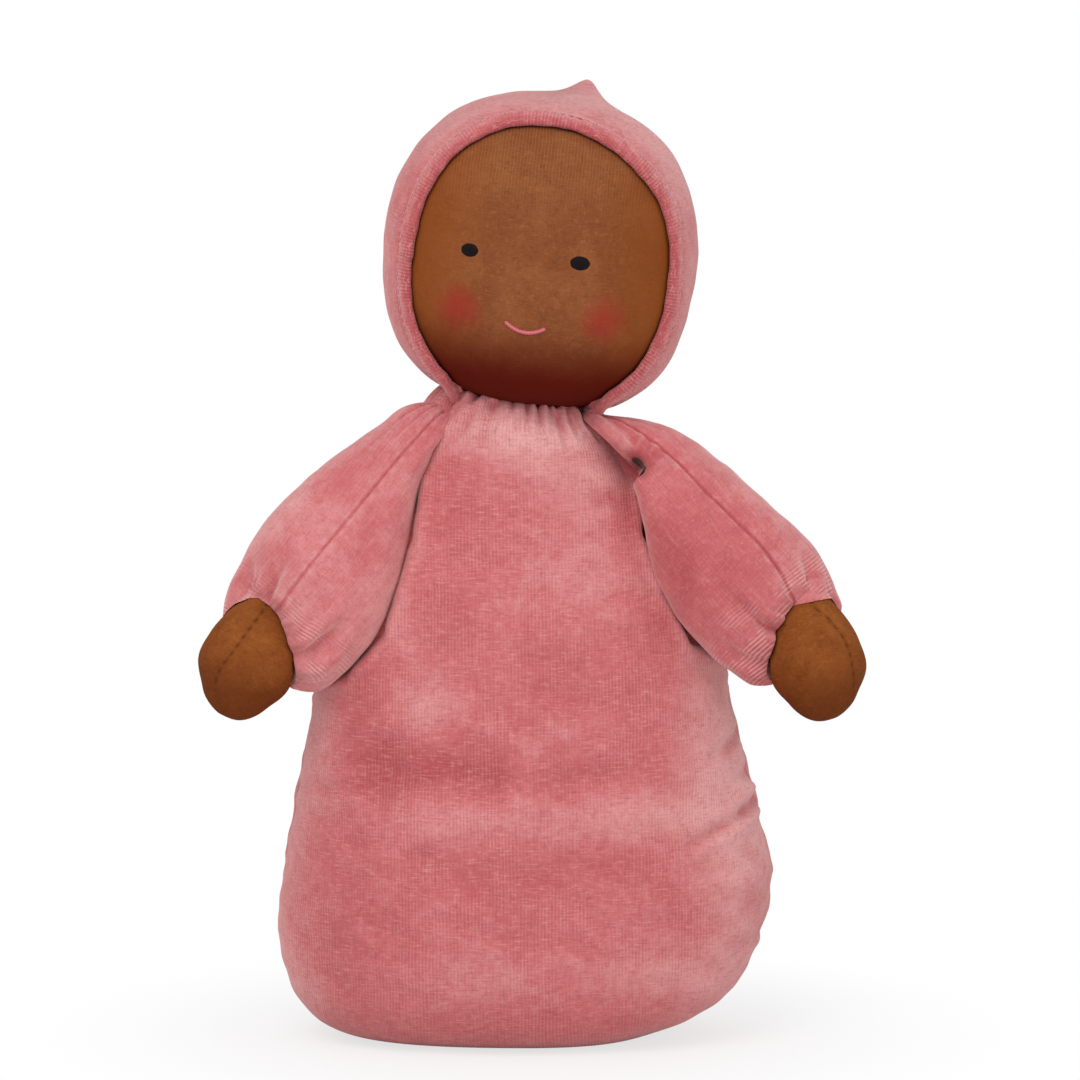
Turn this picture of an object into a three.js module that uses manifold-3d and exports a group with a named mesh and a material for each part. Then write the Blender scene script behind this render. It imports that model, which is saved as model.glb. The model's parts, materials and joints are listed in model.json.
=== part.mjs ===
import * as THREE from 'three';
import { mergeVertices } from 'three/addons/utils/BufferGeometryUtils.js';
import Module from 'manifold-3d';

const wasm = await Module();
wasm.setup();

// Lengths are in millimetres. The doll faces -Y, +Z is up and its right arm is on the -X side.
// Cloth and thread
const VELOUR = 1.4;
const JERSEY = 0.9;
const GAUZE = 0.7;
const THREAD = 1.0;
const GAP = 0.3;

// Body sack
const BODY_HEIGHT = 194;
const BODY_HALF_WIDTH = 77;
const BODY_FRONT_DEPTH = 50;
const BODY_BACK_DEPTH = 46;
const PLEAT_DEPTH = 1.6;
const PLEATS = 16;
const SEAM_SHIFT = 5;

// Head, measured over the hood, and the stuffed neck end that it turns on
const HEAD_RADIUS = 48.5;
const HEAD_HALF_HEIGHT = 49;
const NECK_RADIUS = 13;
const NECK_GROOVE = 2.2;
const NECK_SINK = 6;
const NECK_OFFSET = -1.8;
const CHIN_RISE = 8.3;
const CORE_OPENING = 5;
const THREAD_GROOVE = 1.5;

// Hood: face opening as shares of the head's radius and half height, bound edge and point
const FACE_WIDTH_SHARE = 0.825;
const FACE_TOP_SHARE = 0.949;
const FACE_BOTTOM_SHARE = 0.888;
const FACE_DROP_SHARE = 0.094;
const FACE_END_SHARE = 0.894;
const NECK_HOLE_SHARE = 0.536;
const BINDING_WIDTH = 5.4;
const BINDING_THICKNESS = 2.6;
const PEAK_RADIUS = 10;
const PEAK_HEIGHT = 5.5;
const PEAK_SIDE_SHARE = 0.175;
const PEAK_BACK_SHARE = 0.247;

// Eyes and mouth, placed from the middle of the head by shares of its size
const EYE_RIGHT_WIDTH = 6;
const EYE_RIGHT_HEIGHT = 4.7;
const EYE_RIGHT_SHARE = -0.452;
const EYE_LEFT_WIDTH = 7.4;
const EYE_LEFT_HEIGHT = 5.3;
const EYE_LEFT_SHARE = 0.264;
const EYE_RISE_SHARE = 0.027;
const EYE_THICKNESS = 1.4;
const MOUTH_WIDTH = 12.5;
const MOUTH_THREAD = 1.2;
const MOUTH_SIDE_SHARE = -0.031;
const MOUTH_DROP_SHARE = 0.39;
const MOUTH_SAG = 2.4;

// Arms
const SHOULDER_DROP = 9.5;
const SHOULDER_SEAT = 3;
const SHOULDER_FRONT = 10;
const ROOT_RADIUS = 9;
const SLEEVE_LENGTH = 80;
const SLEEVE_HALF_WIDTH = 25;
const SLEEVE_HALF_DEPTH = 17.5;
const WRIST_AT = 69;
const WRIST_RISE = 5.5;
const WRIST_RADIUS = 8.5;
const WRIST_STUB = 9;
const HAND_HALF_LENGTH = 17.5;
const HAND_RADIUS = 15.5;
const HAND_FLATNESS_SHARE = 0.88;

// Angles in degrees
const HEAD_TILT = 6.5;
const RIGHT_ARM_DROP = 51;
const LEFT_ARM_DROP = 47.5;
const ARM_FORWARD = 11;
const HAND_DROP = 12;
const GATHER_POLAR = 82;
const LOWER_TIE_POLAR = 66;
const UPPER_TIE_POLAR = 50;
const GROOVE_POLAR = 40;
const GROOVE_MIDDLE_ANGLE = 180;
const GROOVE_TOP_ANGLE = 100;
const CHIN_ANGLE = -68;
const SHOULDER_TIE_POLAR = 142;

// Roundness of the sections: 2 is an ellipse and more is squarer
const BODY_POWER = 2.3;
const SLEEVE_POWER = 2.1;
const HEAD_UPPER_POWER = 2.2;
const HEAD_LOWER_POWER = 2.8;
const FACE_UPPER_POWER = 2.35;
const FACE_LOWER_POWER = 2.1;
const HAND_POWER = 2.2;

// Facets
const BODY_SEGMENTS = 2 * PLEATS;
const HEAD_SEGMENTS = 30;
const LINING_SEGMENTS = 16;
const BALL_SEGMENTS = 16;
const CHIN_RINGS = 5;
const CROWN_RINGS = 6;
const SLEEVE_SEGMENTS = 18;
const FILLING_SEGMENTS = 12;
const HAND_SEGMENTS = 14;
const HAND_RINGS = 7;
const BROW_STEPS = 18;
const CHEEK_STEPS = 6;
const THREAD_SEGMENTS = 14;
const THREAD_SIDES = 4;
const BINDING_SIDES = 6;
const MOUTH_STEPS = 8;
const MOUTH_SIDES = 3;
const EYE_SEGMENTS = 14;
const EYE_RINGS = 8;

// One overrun serves every cut
const OVERRUN = 200;

// Body outline from the floor to the collar
const bodyOutlineShares = [
  { height: 0, right: 0.675, left: 0.44, depth: 0.54, pleat: 0 },
  { height: 0.016, right: 0.78, left: 0.55, depth: 0.72, pleat: 0 },
  { height: 0.042, right: 0.875, left: 0.71, depth: 0.84, pleat: 0 },
  { height: 0.085, right: 0.95, left: 0.857, depth: 0.93, pleat: 0 },
  { height: 0.14, right: 0.987, left: 0.93, depth: 0.986, pleat: 0 },
  { height: 0.22, right: 0.99, left: 0.995, depth: 1, pleat: 0 },
  { height: 0.32, right: 0.958, left: 0.97, depth: 0.974, pleat: 0 },
  { height: 0.45, right: 0.89, left: 0.893, depth: 0.92, pleat: 0 },
  { height: 0.6, right: 0.807, left: 0.807, depth: 0.845, pleat: 0 },
  { height: 0.74, right: 0.69, left: 0.685, depth: 0.757, pleat: 0 },
  { height: 0.86, right: 0.555, left: 0.555, depth: 0.65, pleat: 0.1 },
  { height: 0.93, right: 0.47, left: 0.47, depth: 0.57, pleat: 0.5 },
  { height: 0.965, right: 0.41, left: 0.41, depth: 0.5, pleat: 0.9 },
  { height: 0.99, right: 0.335, left: 0.335, depth: 0.41, pleat: 1 },
  { height: 1, right: 0.25, left: 0.25, depth: 0.33, pleat: 0.8 },
];

// Sleeve outline beyond its ball-shaped root: upper and lower half width, and half depth
const sleeveOutlineShares = [
  { along: 0.105, upper: 0.58, lower: 0.42, depth: 0.62 },
  { along: 0.27, upper: 0.77, lower: 0.6, depth: 0.8 },
  { along: 0.48, upper: 0.92, lower: 0.86, depth: 0.96 },
  { along: 0.69, upper: 0.93, lower: 1.02, depth: 1 },
  { along: 0.86, upper: 0.87, lower: 1.05, depth: 0.98 },
  { along: 0.95, upper: 0.79, lower: 0.98, depth: 0.93 },
  { along: 1, upper: 0.71, lower: 0.87, depth: 0.87 },
];

// Ball-shaped ends of the sleeves and of the neck: angles from the axis, in degrees
const ROOT_ANGLES = [152, 124, 95];
const NECK_ANGLES = [150, 120, 90, 65, GROOVE_POLAR];

// Places along the mouth, from its middle to its two ends
const mouthPlaceShares = [-1, -0.5, 0, 0.5, 1];

// Least spread of a profile's corner when it is moved inwards
const CORNER_SPREAD_SHARE = 0.5;

// Ends of the block that cuts the face opening, as shares of the way out to the opening's edge
const faceCutShares = [3, 0.5];

// Hood's point: radius and height along it
const peakOutlineShares = [
  { radius: 1, height: -0.35 },
  { radius: 0.8, height: 0.05 },
  { radius: 0.45, height: 0.35 },
  { radius: 0.2, height: 0.8 },
];

const velour = { color: '#cd7278', roughness: 0.95, metalness: 0 };
const jersey = { color: '#8f5532', roughness: 0.9, metalness: 0 };
const wool = { color: '#e9e0cd', roughness: 1, metalness: 0 };
const gauze = { color: '#f1ece0', roughness: 0.95, metalness: 0 };
const whiteThread = { color: '#f4efe6', roughness: 0.7, metalness: 0 };
const pinkThread = { color: '#c96f7b', roughness: 0.6, metalness: 0 };
const darkThread = { color: '#2a1d1c', roughness: 0.5, metalness: 0 };

const radians = THREE.MathUtils.degToRad;
const skinRadius = HEAD_RADIUS - VELOUR - GAP;
const skinHalfHeight = HEAD_HALF_HEIGHT - VELOUR - GAP;
const headLift = HEAD_HALF_HEIGHT + CHIN_RISE;
const eyeRise = EYE_RISE_SHARE * HEAD_HALF_HEIGHT;
const neckPivot = new THREE.Vector3(NECK_OFFSET, 0, BODY_HEIGHT - NECK_SINK);
const tieRadius = NECK_RADIUS + GAP + THREAD / 2;
const neckPocketRadius = NECK_RADIUS + THREAD + 2 * GAP;
const shoulderTieRadius = ROOT_RADIUS + GAP + THREAD / 2;
const dimpleRadius = ROOT_RADIUS + THREAD + 2 * GAP;

// A closed mesh as a solid that can be joined and cut
function solid(geometry) {
  const bare = geometry.clone();
  bare.deleteAttribute('normal');
  bare.deleteAttribute('uv');
  const merged = mergeVertices(bare);
  const corners = merged.index.array;
  const kept = [];
  for (let i = 0; i < corners.length; i += 3) {
    const [a, b, c] = [corners[i], corners[i + 1], corners[i + 2]];
    if (a !== b && b !== c && c !== a) kept.push(a, b, c);
  }
  return new wasm.Manifold(new wasm.Mesh({
    numProp: 3,
    vertProperties: new Float32Array(merged.attributes.position.array),
    triVerts: new Uint32Array(kept),
  }));
}

function geometryOf(body) {
  const mesh = body.getMesh();
  const geometry = new THREE.BufferGeometry();
  const positions = new Float32Array(mesh.vertProperties);
  geometry.setAttribute('position', new THREE.BufferAttribute(positions, mesh.numProp));
  geometry.setIndex(new THREE.BufferAttribute(new Uint32Array(mesh.triVerts), 1));
  return geometry;
}

function piece(name, body, finish) {
  const geometry = geometryOf(body);
  geometry.computeVertexNormals();
  const made = new THREE.Mesh(geometry, new THREE.MeshStandardMaterial(finish));
  made.name = name;
  return made;
}

// A closed skin over rings of equal length, listed from the first end to the last
function loft(rings) {
  const size = rings[0].length;
  const points = rings.flat();
  const faces = [];
  for (let r = 0; r + 1 < rings.length; r++) {
    for (let i = 0; i < size; i++) {
      const a = r * size + i;
      const b = r * size + (i + 1) % size;
      faces.push(a, b, b + size, a, b + size, a + size);
    }
  }
  for (const last of [false, true]) {
    const ring = last ? rings.at(-1) : rings[0];
    const start = last ? (rings.length - 1) * size : 0;
    const middle = ring.reduce((sum, p) => sum.add(p), new THREE.Vector3()).divideScalar(size);
    for (let i = 0; i < size; i++) {
      const j = (i + 1) % size;
      const edge = last ? [start + i, start + j] : [start + j, start + i];
      faces.push(...edge, points.length);
    }
    points.push(middle);
  }
  const geometry = new THREE.BufferGeometry().setFromPoints(points);
  geometry.setIndex(faces);
  return geometry;
}

// Point at this angle from the second axis of a profile
function polarPoint(radius, polar) {
  return new THREE.Vector2(radius * Math.sin(radians(polar)), radius * Math.cos(radians(polar)));
}

// Distance from the middle of a rounded section to its edge
function sectionRadius(angle, halfAcross, halfUp, power) {
  const across = Math.abs(Math.cos(angle)) / halfAcross;
  const up = Math.abs(Math.sin(angle)) / halfUp;
  return (across ** power + up ** power) ** (-1 / power);
}

function turned(points, segments) {
  return new THREE.LatheGeometry(points, segments).rotateX(Math.PI / 2);
}

// A ball to cut with, whose flat facets stay outside the true radius
function ball(radius, centre) {
  const reach = radius / Math.cos(Math.PI / BALL_SEGMENTS) ** 2;
  const sphere = new THREE.SphereGeometry(reach, BALL_SEGMENTS, BALL_SEGMENTS / 2);
  return sphere.rotateX(Math.PI / 2).translate(centre.x, centre.y, centre.z);
}

function ring(radius, height, thickness = THREAD, segments = THREAD_SEGMENTS) {
  return new THREE.TorusGeometry(radius, thickness / 2, THREAD_SIDES, segments).translate(0, 0, height);
}

// Profile moved inwards by the same distance all along, with its ends kept on the axis
function insetProfile(points, distance) {
  return points.map((point, i) => {
    if (i === 0) return new THREE.Vector2(0, point.y + distance);
    if (i === points.length - 1) return new THREE.Vector2(0, point.y - distance);
    const before = point.clone().sub(points[i - 1]).normalize();
    const after = points[i + 1].clone().sub(point).normalize();
    const normal = new THREE.Vector2(-before.y - after.y, before.x + after.x).normalize();
    const spread = Math.max(normal.dot(new THREE.Vector2(-before.y, before.x)), CORNER_SPREAD_SHARE);
    return point.clone().addScaledVector(normal, distance / spread);
  });
}

// Body

// Body sack with every wall moved inwards by inset; a negative inset grows it
function bodyGeometry(inset) {
  const rings = bodyOutlineShares.map((row) => {
    const z = inset + row.height * (BODY_HEIGHT - 2 * inset);
    const points = [];
    for (let i = 0; i < BODY_SEGMENTS; i++) {
      const angle = 2 * Math.PI * i / BODY_SEGMENTS;
      const side = Math.cos(angle) < 0 ? row.right : row.left;
      const depth = Math.sin(angle) < 0 ? BODY_FRONT_DEPTH : BODY_BACK_DEPTH;
      const across = side * BODY_HALF_WIDTH - inset;
      const radius = sectionRadius(angle, across, row.depth * depth - inset, BODY_POWER);
      const fold = row.pleat * PLEAT_DEPTH / 2 * (i % 2 ? -1 : 1);
      const x = row.height * NECK_OFFSET + (radius + fold) * Math.cos(angle);
      points.push(new THREE.Vector3(x, (radius + fold) * Math.sin(angle), z));
    }
    return points;
  });
  return loft(rings);
}

function bodyWidthAt(height) {
  const share = height / BODY_HEIGHT;
  const above = bodyOutlineShares.findIndex((row) => row.height >= share);
  const [low, high] = [bodyOutlineShares[above - 1], bodyOutlineShares[above]];
  const between = (share - low.height) / (high.height - low.height);
  return BODY_HALF_WIDTH * THREE.MathUtils.lerp(low.left, high.left, between);
}

function shoulderPoint(side) {
  const z = BODY_HEIGHT - SHOULDER_DROP;
  const x = NECK_OFFSET + side * (bodyWidthAt(z) - SHOULDER_SEAT);
  return new THREE.Vector3(x, -SHOULDER_FRONT, z);
}

// Body sack with a dimple for each sleeve's root
function dimpledBody(inset) {
  let body = solid(bodyGeometry(inset));
  for (const side of [-1, 1]) {
    body = body.subtract(solid(ball(dimpleRadius + inset, shoulderPoint(side))));
  }
  return body;
}

function halfSpace(front) {
  const edge = SEAM_SHIFT + (front ? -GAP / 2 : GAP / 2);
  const side = front ? -1 : 1;
  const block = new THREE.BoxGeometry(2 * OVERRUN, 2 * OVERRUN, 3 * BODY_HEIGHT);
  return solid(block.translate(0, edge + side * OVERRUN, 0));
}

function makeBody() {
  const neckPocket = solid(ball(neckPocketRadius, neckPivot));
  const shell = dimpledBody(0).subtract(dimpledBody(VELOUR)).subtract(neckPocket);
  const gather = tieRing(GATHER_POLAR).translate(...neckPivot);
  const body = new THREE.Group();
  body.add(
    piece('body_front', shell.intersect(halfSpace(true)), velour),
    piece('body_back', shell.intersect(halfSpace(false)), velour),
    piece('body_stuffing', dimpledBody(VELOUR + GAP).subtract(neckPocket), wool),
    piece('neck_gathering_thread', solid(gather), whiteThread),
  );
  return body;
}

// Neck ties

function tieRing(polar) {
  const place = polarPoint(tieRadius, polar);
  return ring(place.x, place.y);
}

function neckTie(name, polar) {
  return piece(name, solid(tieRing(polar)), whiteThread);
}

// Head

// Profile of the skin from the end of the neck to the crown, about the neck's pivot
function skinProfile() {
  const points = [new THREE.Vector2(0, -NECK_RADIUS)];
  for (const polar of NECK_ANGLES) points.push(polarPoint(NECK_RADIUS, polar));
  const groove = polarPoint(NECK_RADIUS + NECK_GROOVE, GROOVE_POLAR);
  for (const angle of [GROOVE_MIDDLE_ANGLE, GROOVE_TOP_ANGLE]) {
    const towards = new THREE.Vector2(Math.cos(radians(angle)), Math.sin(radians(angle)));
    points.push(groove.clone().addScaledVector(towards, NECK_GROOVE));
  }
  for (const angle of headAngles()) points.push(headPoint(angle, skinRadius, skinHalfHeight));
  points.push(new THREE.Vector2(0, headLift + skinHalfHeight));
  return points;
}

// Heights of the rings of the head from the chin to below the crown, as angles seen from its middle
function headAngles() {
  const eyeAngle = Math.atan2(eyeRise, skinRadius);
  const groovePitch = 2 * THREAD_GROOVE / skinRadius;
  const angles = [];
  for (let i = 0; i <= CHIN_RINGS; i++) {
    angles.push(THREE.MathUtils.lerp(radians(CHIN_ANGLE), eyeAngle - groovePitch, i / CHIN_RINGS));
  }
  angles.push(eyeAngle);
  for (let i = 0; i < CROWN_RINGS; i++) {
    angles.push(THREE.MathUtils.lerp(eyeAngle + groovePitch, Math.PI / 2, i / CROWN_RINGS));
  }
  return angles;
}

function headPower(height) {
  return height < 0 ? HEAD_LOWER_POWER : HEAD_UPPER_POWER;
}

function headPoint(angle, radius, halfHeight) {
  const reach = sectionRadius(angle, radius, halfHeight, headPower(angle));
  return new THREE.Vector2(reach * Math.cos(angle), headLift + reach * Math.sin(angle));
}

// Layer of the head this deep below the skin; a grooved one is drawn in under its two threads
function headLayer(depth, segments, grooved) {
  const outline = skinProfile();
  const neckThread = NECK_ANGLES.length + 1;
  const eyeThread = outline.length - CROWN_RINGS - 2;
  const points = insetProfile(outline, depth);
  if (grooved) {
    points[neckThread].x -= THREAD_GROOVE;
    points[eyeThread].x -= THREAD_GROOVE;
  }
  return solid(turned(points, segments));
}

// Point on the head, lifted off the skin, with the direction straight out of it there
function onHead(x, up, lift) {
  const [radius, halfHeight, power] = [skinRadius + lift, skinHalfHeight + lift, headPower(up)];
  const around = radius * (1 - Math.min(Math.abs(up) / halfHeight, 1) ** power) ** (1 / power);
  const y = -Math.sqrt(Math.max(around ** 2 - x ** 2, 0));
  const out = around ** (power - 1) / radius ** power;
  const rise = Math.sign(up) * Math.abs(up) ** (power - 1) / halfHeight ** power;
  const normal = new THREE.Vector3(out * x / around, out * y / around, rise).normalize();
  return { point: new THREE.Vector3(x, y, headLift + up), normal };
}

// Edge of the face, from the neck on the doll's right, over the brow and down to the neck again
function faceEdge() {
  const halfWidth = FACE_WIDTH_SHARE * HEAD_RADIUS;
  const [middle, bottom] = [FACE_DROP_SHARE * HEAD_HALF_HEIGHT, FACE_BOTTOM_SHARE * HEAD_HALF_HEIGHT];
  const end = FACE_END_SHARE * HEAD_HALF_HEIGHT - middle;
  const cheek = [];
  for (let i = CHEEK_STEPS; i > 0; i--) {
    const drop = end * i / CHEEK_STEPS;
    const half = halfWidth * (1 - (drop / bottom) ** FACE_LOWER_POWER) ** (1 / FACE_LOWER_POWER);
    cheek.push(new THREE.Vector2(-half, -middle - drop));
  }
  const brow = [];
  for (let i = 0; i <= BROW_STEPS; i++) {
    const angle = Math.PI * (1 - i / BROW_STEPS);
    const reach = sectionRadius(angle, halfWidth, FACE_TOP_SHARE * HEAD_HALF_HEIGHT, FACE_UPPER_POWER);
    brow.push(new THREE.Vector2(reach * Math.cos(angle), reach * Math.sin(angle) - middle));
  }
  const mirrored = cheek.map((p) => new THREE.Vector2(-p.x, p.y)).reverse();
  return [...cheek, ...brow, ...mirrored];
}

// Frames along the bound edge: a point on the skin, the way out of the skin and the way off the face
function bindingFrames() {
  const edge = faceEdge().map((p) => onHead(p.x, p.y, GAP + BINDING_THICKNESS / 2));
  return edge.map(({ point, normal }, i) => {
    const before = edge[Math.max(i - 1, 0)].point;
    const after = edge[Math.min(i + 1, edge.length - 1)].point;
    const along = after.clone().sub(before).normalize();
    const off = normal.clone().cross(along).normalize();
    return { point, normal, off };
  });
}

function bindingGeometry() {
  const rings = bindingFrames().map(({ point, normal, off }) => {
    const points = [];
    for (let i = 0; i < BINDING_SIDES; i++) {
      const angle = 2 * Math.PI * i / BINDING_SIDES;
      const reach = BINDING_WIDTH / 2 * (1 + Math.cos(angle));
      const rise = BINDING_THICKNESS / 2 * Math.sin(angle);
      points.push(point.clone().addScaledVector(off, reach).addScaledVector(normal, rise));
    }
    return points;
  });
  return loft(rings);
}

// Everything in front of the hood's cut edge, spreading out from the middle of the head
function faceCut() {
  const reach = BINDING_WIDTH + 2 * GAP;
  const middle = new THREE.Vector3(0, 0, headLift);
  const ways = bindingFrames().map(({ point, off }) => (
    point.clone().addScaledVector(off, reach).sub(middle)
  ));
  return solid(loft(faceCutShares.map((share) => (
    ways.map((way) => way.clone().multiplyScalar(share).add(middle))
  ))));
}

function hoodLayer(inset) {
  const halfHeight = HEAD_HALF_HEIGHT - inset;
  const points = [new THREE.Vector2(0, headLift - halfHeight)];
  for (const angle of headAngles()) points.push(headPoint(angle, HEAD_RADIUS - inset, halfHeight));
  points.push(new THREE.Vector2(0, headLift + halfHeight));
  return solid(turned(points, HEAD_SEGMENTS));
}

function peak() {
  const foot = Math.hypot(PEAK_SIDE_SHARE, PEAK_BACK_SHARE);
  const height = HEAD_HALF_HEIGHT * (1 - foot ** HEAD_UPPER_POWER) ** (1 / HEAD_UPPER_POWER);
  const points = peakOutlineShares.map((row) => (
    new THREE.Vector2(row.radius * PEAK_RADIUS, row.height * PEAK_HEIGHT)
  ));
  points.unshift(new THREE.Vector2(0, points[0].y));
  points.push(new THREE.Vector2(0, PEAK_HEIGHT));
  const [side, back] = [PEAK_SIDE_SHARE * HEAD_RADIUS, PEAK_BACK_SHARE * HEAD_RADIUS];
  return solid(turned(points, LINING_SEGMENTS).translate(side, back, headLift + height));
}

function makeHood() {
  const hole = NECK_HOLE_SHARE * HEAD_RADIUS;
  const below = new THREE.CylinderGeometry(hole, hole, HEAD_HALF_HEIGHT, HEAD_SEGMENTS);
  const neckHole = solid(below.rotateX(Math.PI / 2).translate(0, 0, headLift - HEAD_HALF_HEIGHT));
  return hoodLayer(0).add(peak()).subtract(hoodLayer(VELOUR)).subtract(neckHole).subtract(faceCut());
}

function makeEye(name, width, height, sideShare) {
  const pad = new THREE.SphereGeometry(width / 2, EYE_SEGMENTS, EYE_RINGS);
  const eye = piece(name, solid(pad.scale(1, EYE_THICKNESS / width, height / width)), darkThread);
  const { point, normal } = onHead(sideShare * HEAD_RADIUS, eyeRise, GAP + EYE_THICKNESS / 2);
  eye.position.copy(point);
  eye.rotation.z = Math.atan2(normal.x, -normal.y);
  return eye;
}

function mouthGeometry() {
  const points = mouthPlaceShares.map((share) => {
    const across = MOUTH_SIDE_SHARE * HEAD_RADIUS + share * MOUTH_WIDTH / 2;
    const up = -MOUTH_DROP_SHARE * HEAD_HALF_HEIGHT - MOUTH_SAG * (1 - share ** 2);
    return onHead(across, up, GAP + MOUTH_THREAD / 2).point;
  });
  const section = new THREE.Shape();
  section.absarc(0, 0, MOUTH_THREAD / 2, 0, 2 * Math.PI);
  const extrudePath = new THREE.CatmullRomCurve3(points);
  return new THREE.ExtrudeGeometry(section, { steps: MOUTH_STEPS, curveSegments: MOUTH_SIDES, extrudePath });
}

function makeHead() {
  const opening = new THREE.CylinderGeometry(CORE_OPENING, CORE_OPENING, NECK_RADIUS, LINING_SEGMENTS);
  const neckEnd = solid(opening.rotateX(Math.PI / 2).translate(0, 0, -NECK_RADIUS));
  const gauzeDepth = JERSEY + GAP;
  const coreDepth = gauzeDepth + GAUZE + GAP;
  const skin = headLayer(0, HEAD_SEGMENTS, false).subtract(headLayer(JERSEY, LINING_SEGMENTS, false));
  const underGauze = headLayer(gauzeDepth + GAUZE, LINING_SEGMENTS, true);
  const tube = headLayer(gauzeDepth, LINING_SEGMENTS, true).subtract(underGauze);
  const underSkin = JERSEY + GAP + THREAD / 2;
  const eyeLine = ring(skinRadius - underSkin, headLift + eyeRise, THREAD, LINING_SEGMENTS);
  const waist = polarPoint(NECK_RADIUS + NECK_GROOVE, GROOVE_POLAR);
  const neckLine = ring(waist.x - NECK_GROOVE - underSkin, waist.y);
  const head = new THREE.Group();
  head.add(
    piece('head_core', headLayer(coreDepth, LINING_SEGMENTS, true), wool),
    piece('head_gauze', tube.subtract(neckEnd), gauze),
    piece('eye_line_thread', solid(eyeLine), whiteThread),
    piece('core_neck_thread', solid(neckLine), whiteThread),
    piece('head_skin', skin.subtract(neckEnd), jersey),
    makeEye('eye_right', EYE_RIGHT_WIDTH, EYE_RIGHT_HEIGHT, EYE_RIGHT_SHARE),
    makeEye('eye_left', EYE_LEFT_WIDTH, EYE_LEFT_HEIGHT, EYE_LEFT_SHARE),
    piece('mouth_thread', solid(mouthGeometry()), pinkThread),
    piece('hood', makeHood(), velour),
    piece('hood_binding', solid(bindingGeometry()), velour),
    neckTie('neck_tie_upper', UPPER_TIE_POLAR),
  );
  head.rotation.y = radians(HEAD_TILT);
  head.position.copy(neckPivot);
  return head;
}

// Arms: each is built along +X from its shoulder, with its upper side towards +Z

function sleeveGeometry(inset, segments) {
  const rows = ROOT_ANGLES.map((angle) => {
    const half = (ROOT_RADIUS - inset) * Math.sin(radians(angle));
    return { x: (ROOT_RADIUS - inset) * Math.cos(radians(angle)), upper: half, lower: half, depth: half };
  });
  for (const row of sleeveOutlineShares) {
    rows.push({
      x: row.along * (SLEEVE_LENGTH - inset),
      upper: row.upper * SLEEVE_HALF_WIDTH - inset,
      lower: row.lower * SLEEVE_HALF_WIDTH - inset,
      depth: row.depth * SLEEVE_HALF_DEPTH - inset,
    });
  }
  return loft(rows.map((row) => {
    const points = [];
    for (let i = 0; i < segments; i++) {
      const angle = 2 * Math.PI * i / segments;
      const up = Math.sin(angle) < 0 ? row.lower : row.upper;
      const radius = sectionRadius(angle, row.depth, up, SLEEVE_POWER);
      points.push(new THREE.Vector3(row.x, radius * Math.cos(angle), radius * Math.sin(angle)));
    }
    return points;
  }));
}

// Hand with its wrist stub down to stubEnd, along +Z from the wrist and moved inwards by inset
function handGeometry(inset, stubEnd) {
  const [wrist, radius, half] = [WRIST_RADIUS - inset, HAND_RADIUS - inset, HAND_HALF_LENGTH - inset];
  const heel = half * (1 - (wrist / radius) ** HAND_POWER) ** (1 / HAND_POWER);
  const points = [new THREE.Vector2(0, stubEnd), new THREE.Vector2(wrist, stubEnd)];
  for (let i = 0; i < HAND_RINGS; i++) {
    const angle = THREE.MathUtils.lerp(-Math.atan2(heel, wrist), Math.PI / 2, i / HAND_RINGS);
    points.push(palmPoint(angle, inset));
  }
  points.push(new THREE.Vector2(0, HAND_HALF_LENGTH + half));
  return placedHand(turned(points, HAND_SEGMENTS));
}

function palmPoint(angle, inset) {
  const reach = sectionRadius(angle, HAND_RADIUS - inset, HAND_HALF_LENGTH - inset, HAND_POWER);
  return new THREE.Vector2(reach * Math.cos(angle), HAND_HALF_LENGTH + reach * Math.sin(angle));
}

// The stuffed ball of the hand without its stub
function palmGeometry(inset) {
  const points = [new THREE.Vector2(0, inset)];
  const steps = HAND_RINGS + 1;
  for (let i = 1; i < steps; i++) points.push(palmPoint(Math.PI * (i / steps - 0.5), inset));
  points.push(new THREE.Vector2(0, 2 * HAND_HALF_LENGTH - inset));
  return placedHand(turned(points, HAND_SEGMENTS));
}

function placedHand(geometry) {
  const turn = Math.PI / 2 + radians(HAND_DROP);
  return geometry.scale(1, HAND_FLATNESS_SHARE, 1).rotateY(turn).translate(WRIST_AT, 0, WRIST_RISE);
}

function wristRing(thickness) {
  return placedHand(ring(WRIST_RADIUS + GAP + THREAD / 2, -WRIST_STUB / 2, thickness));
}

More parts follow.
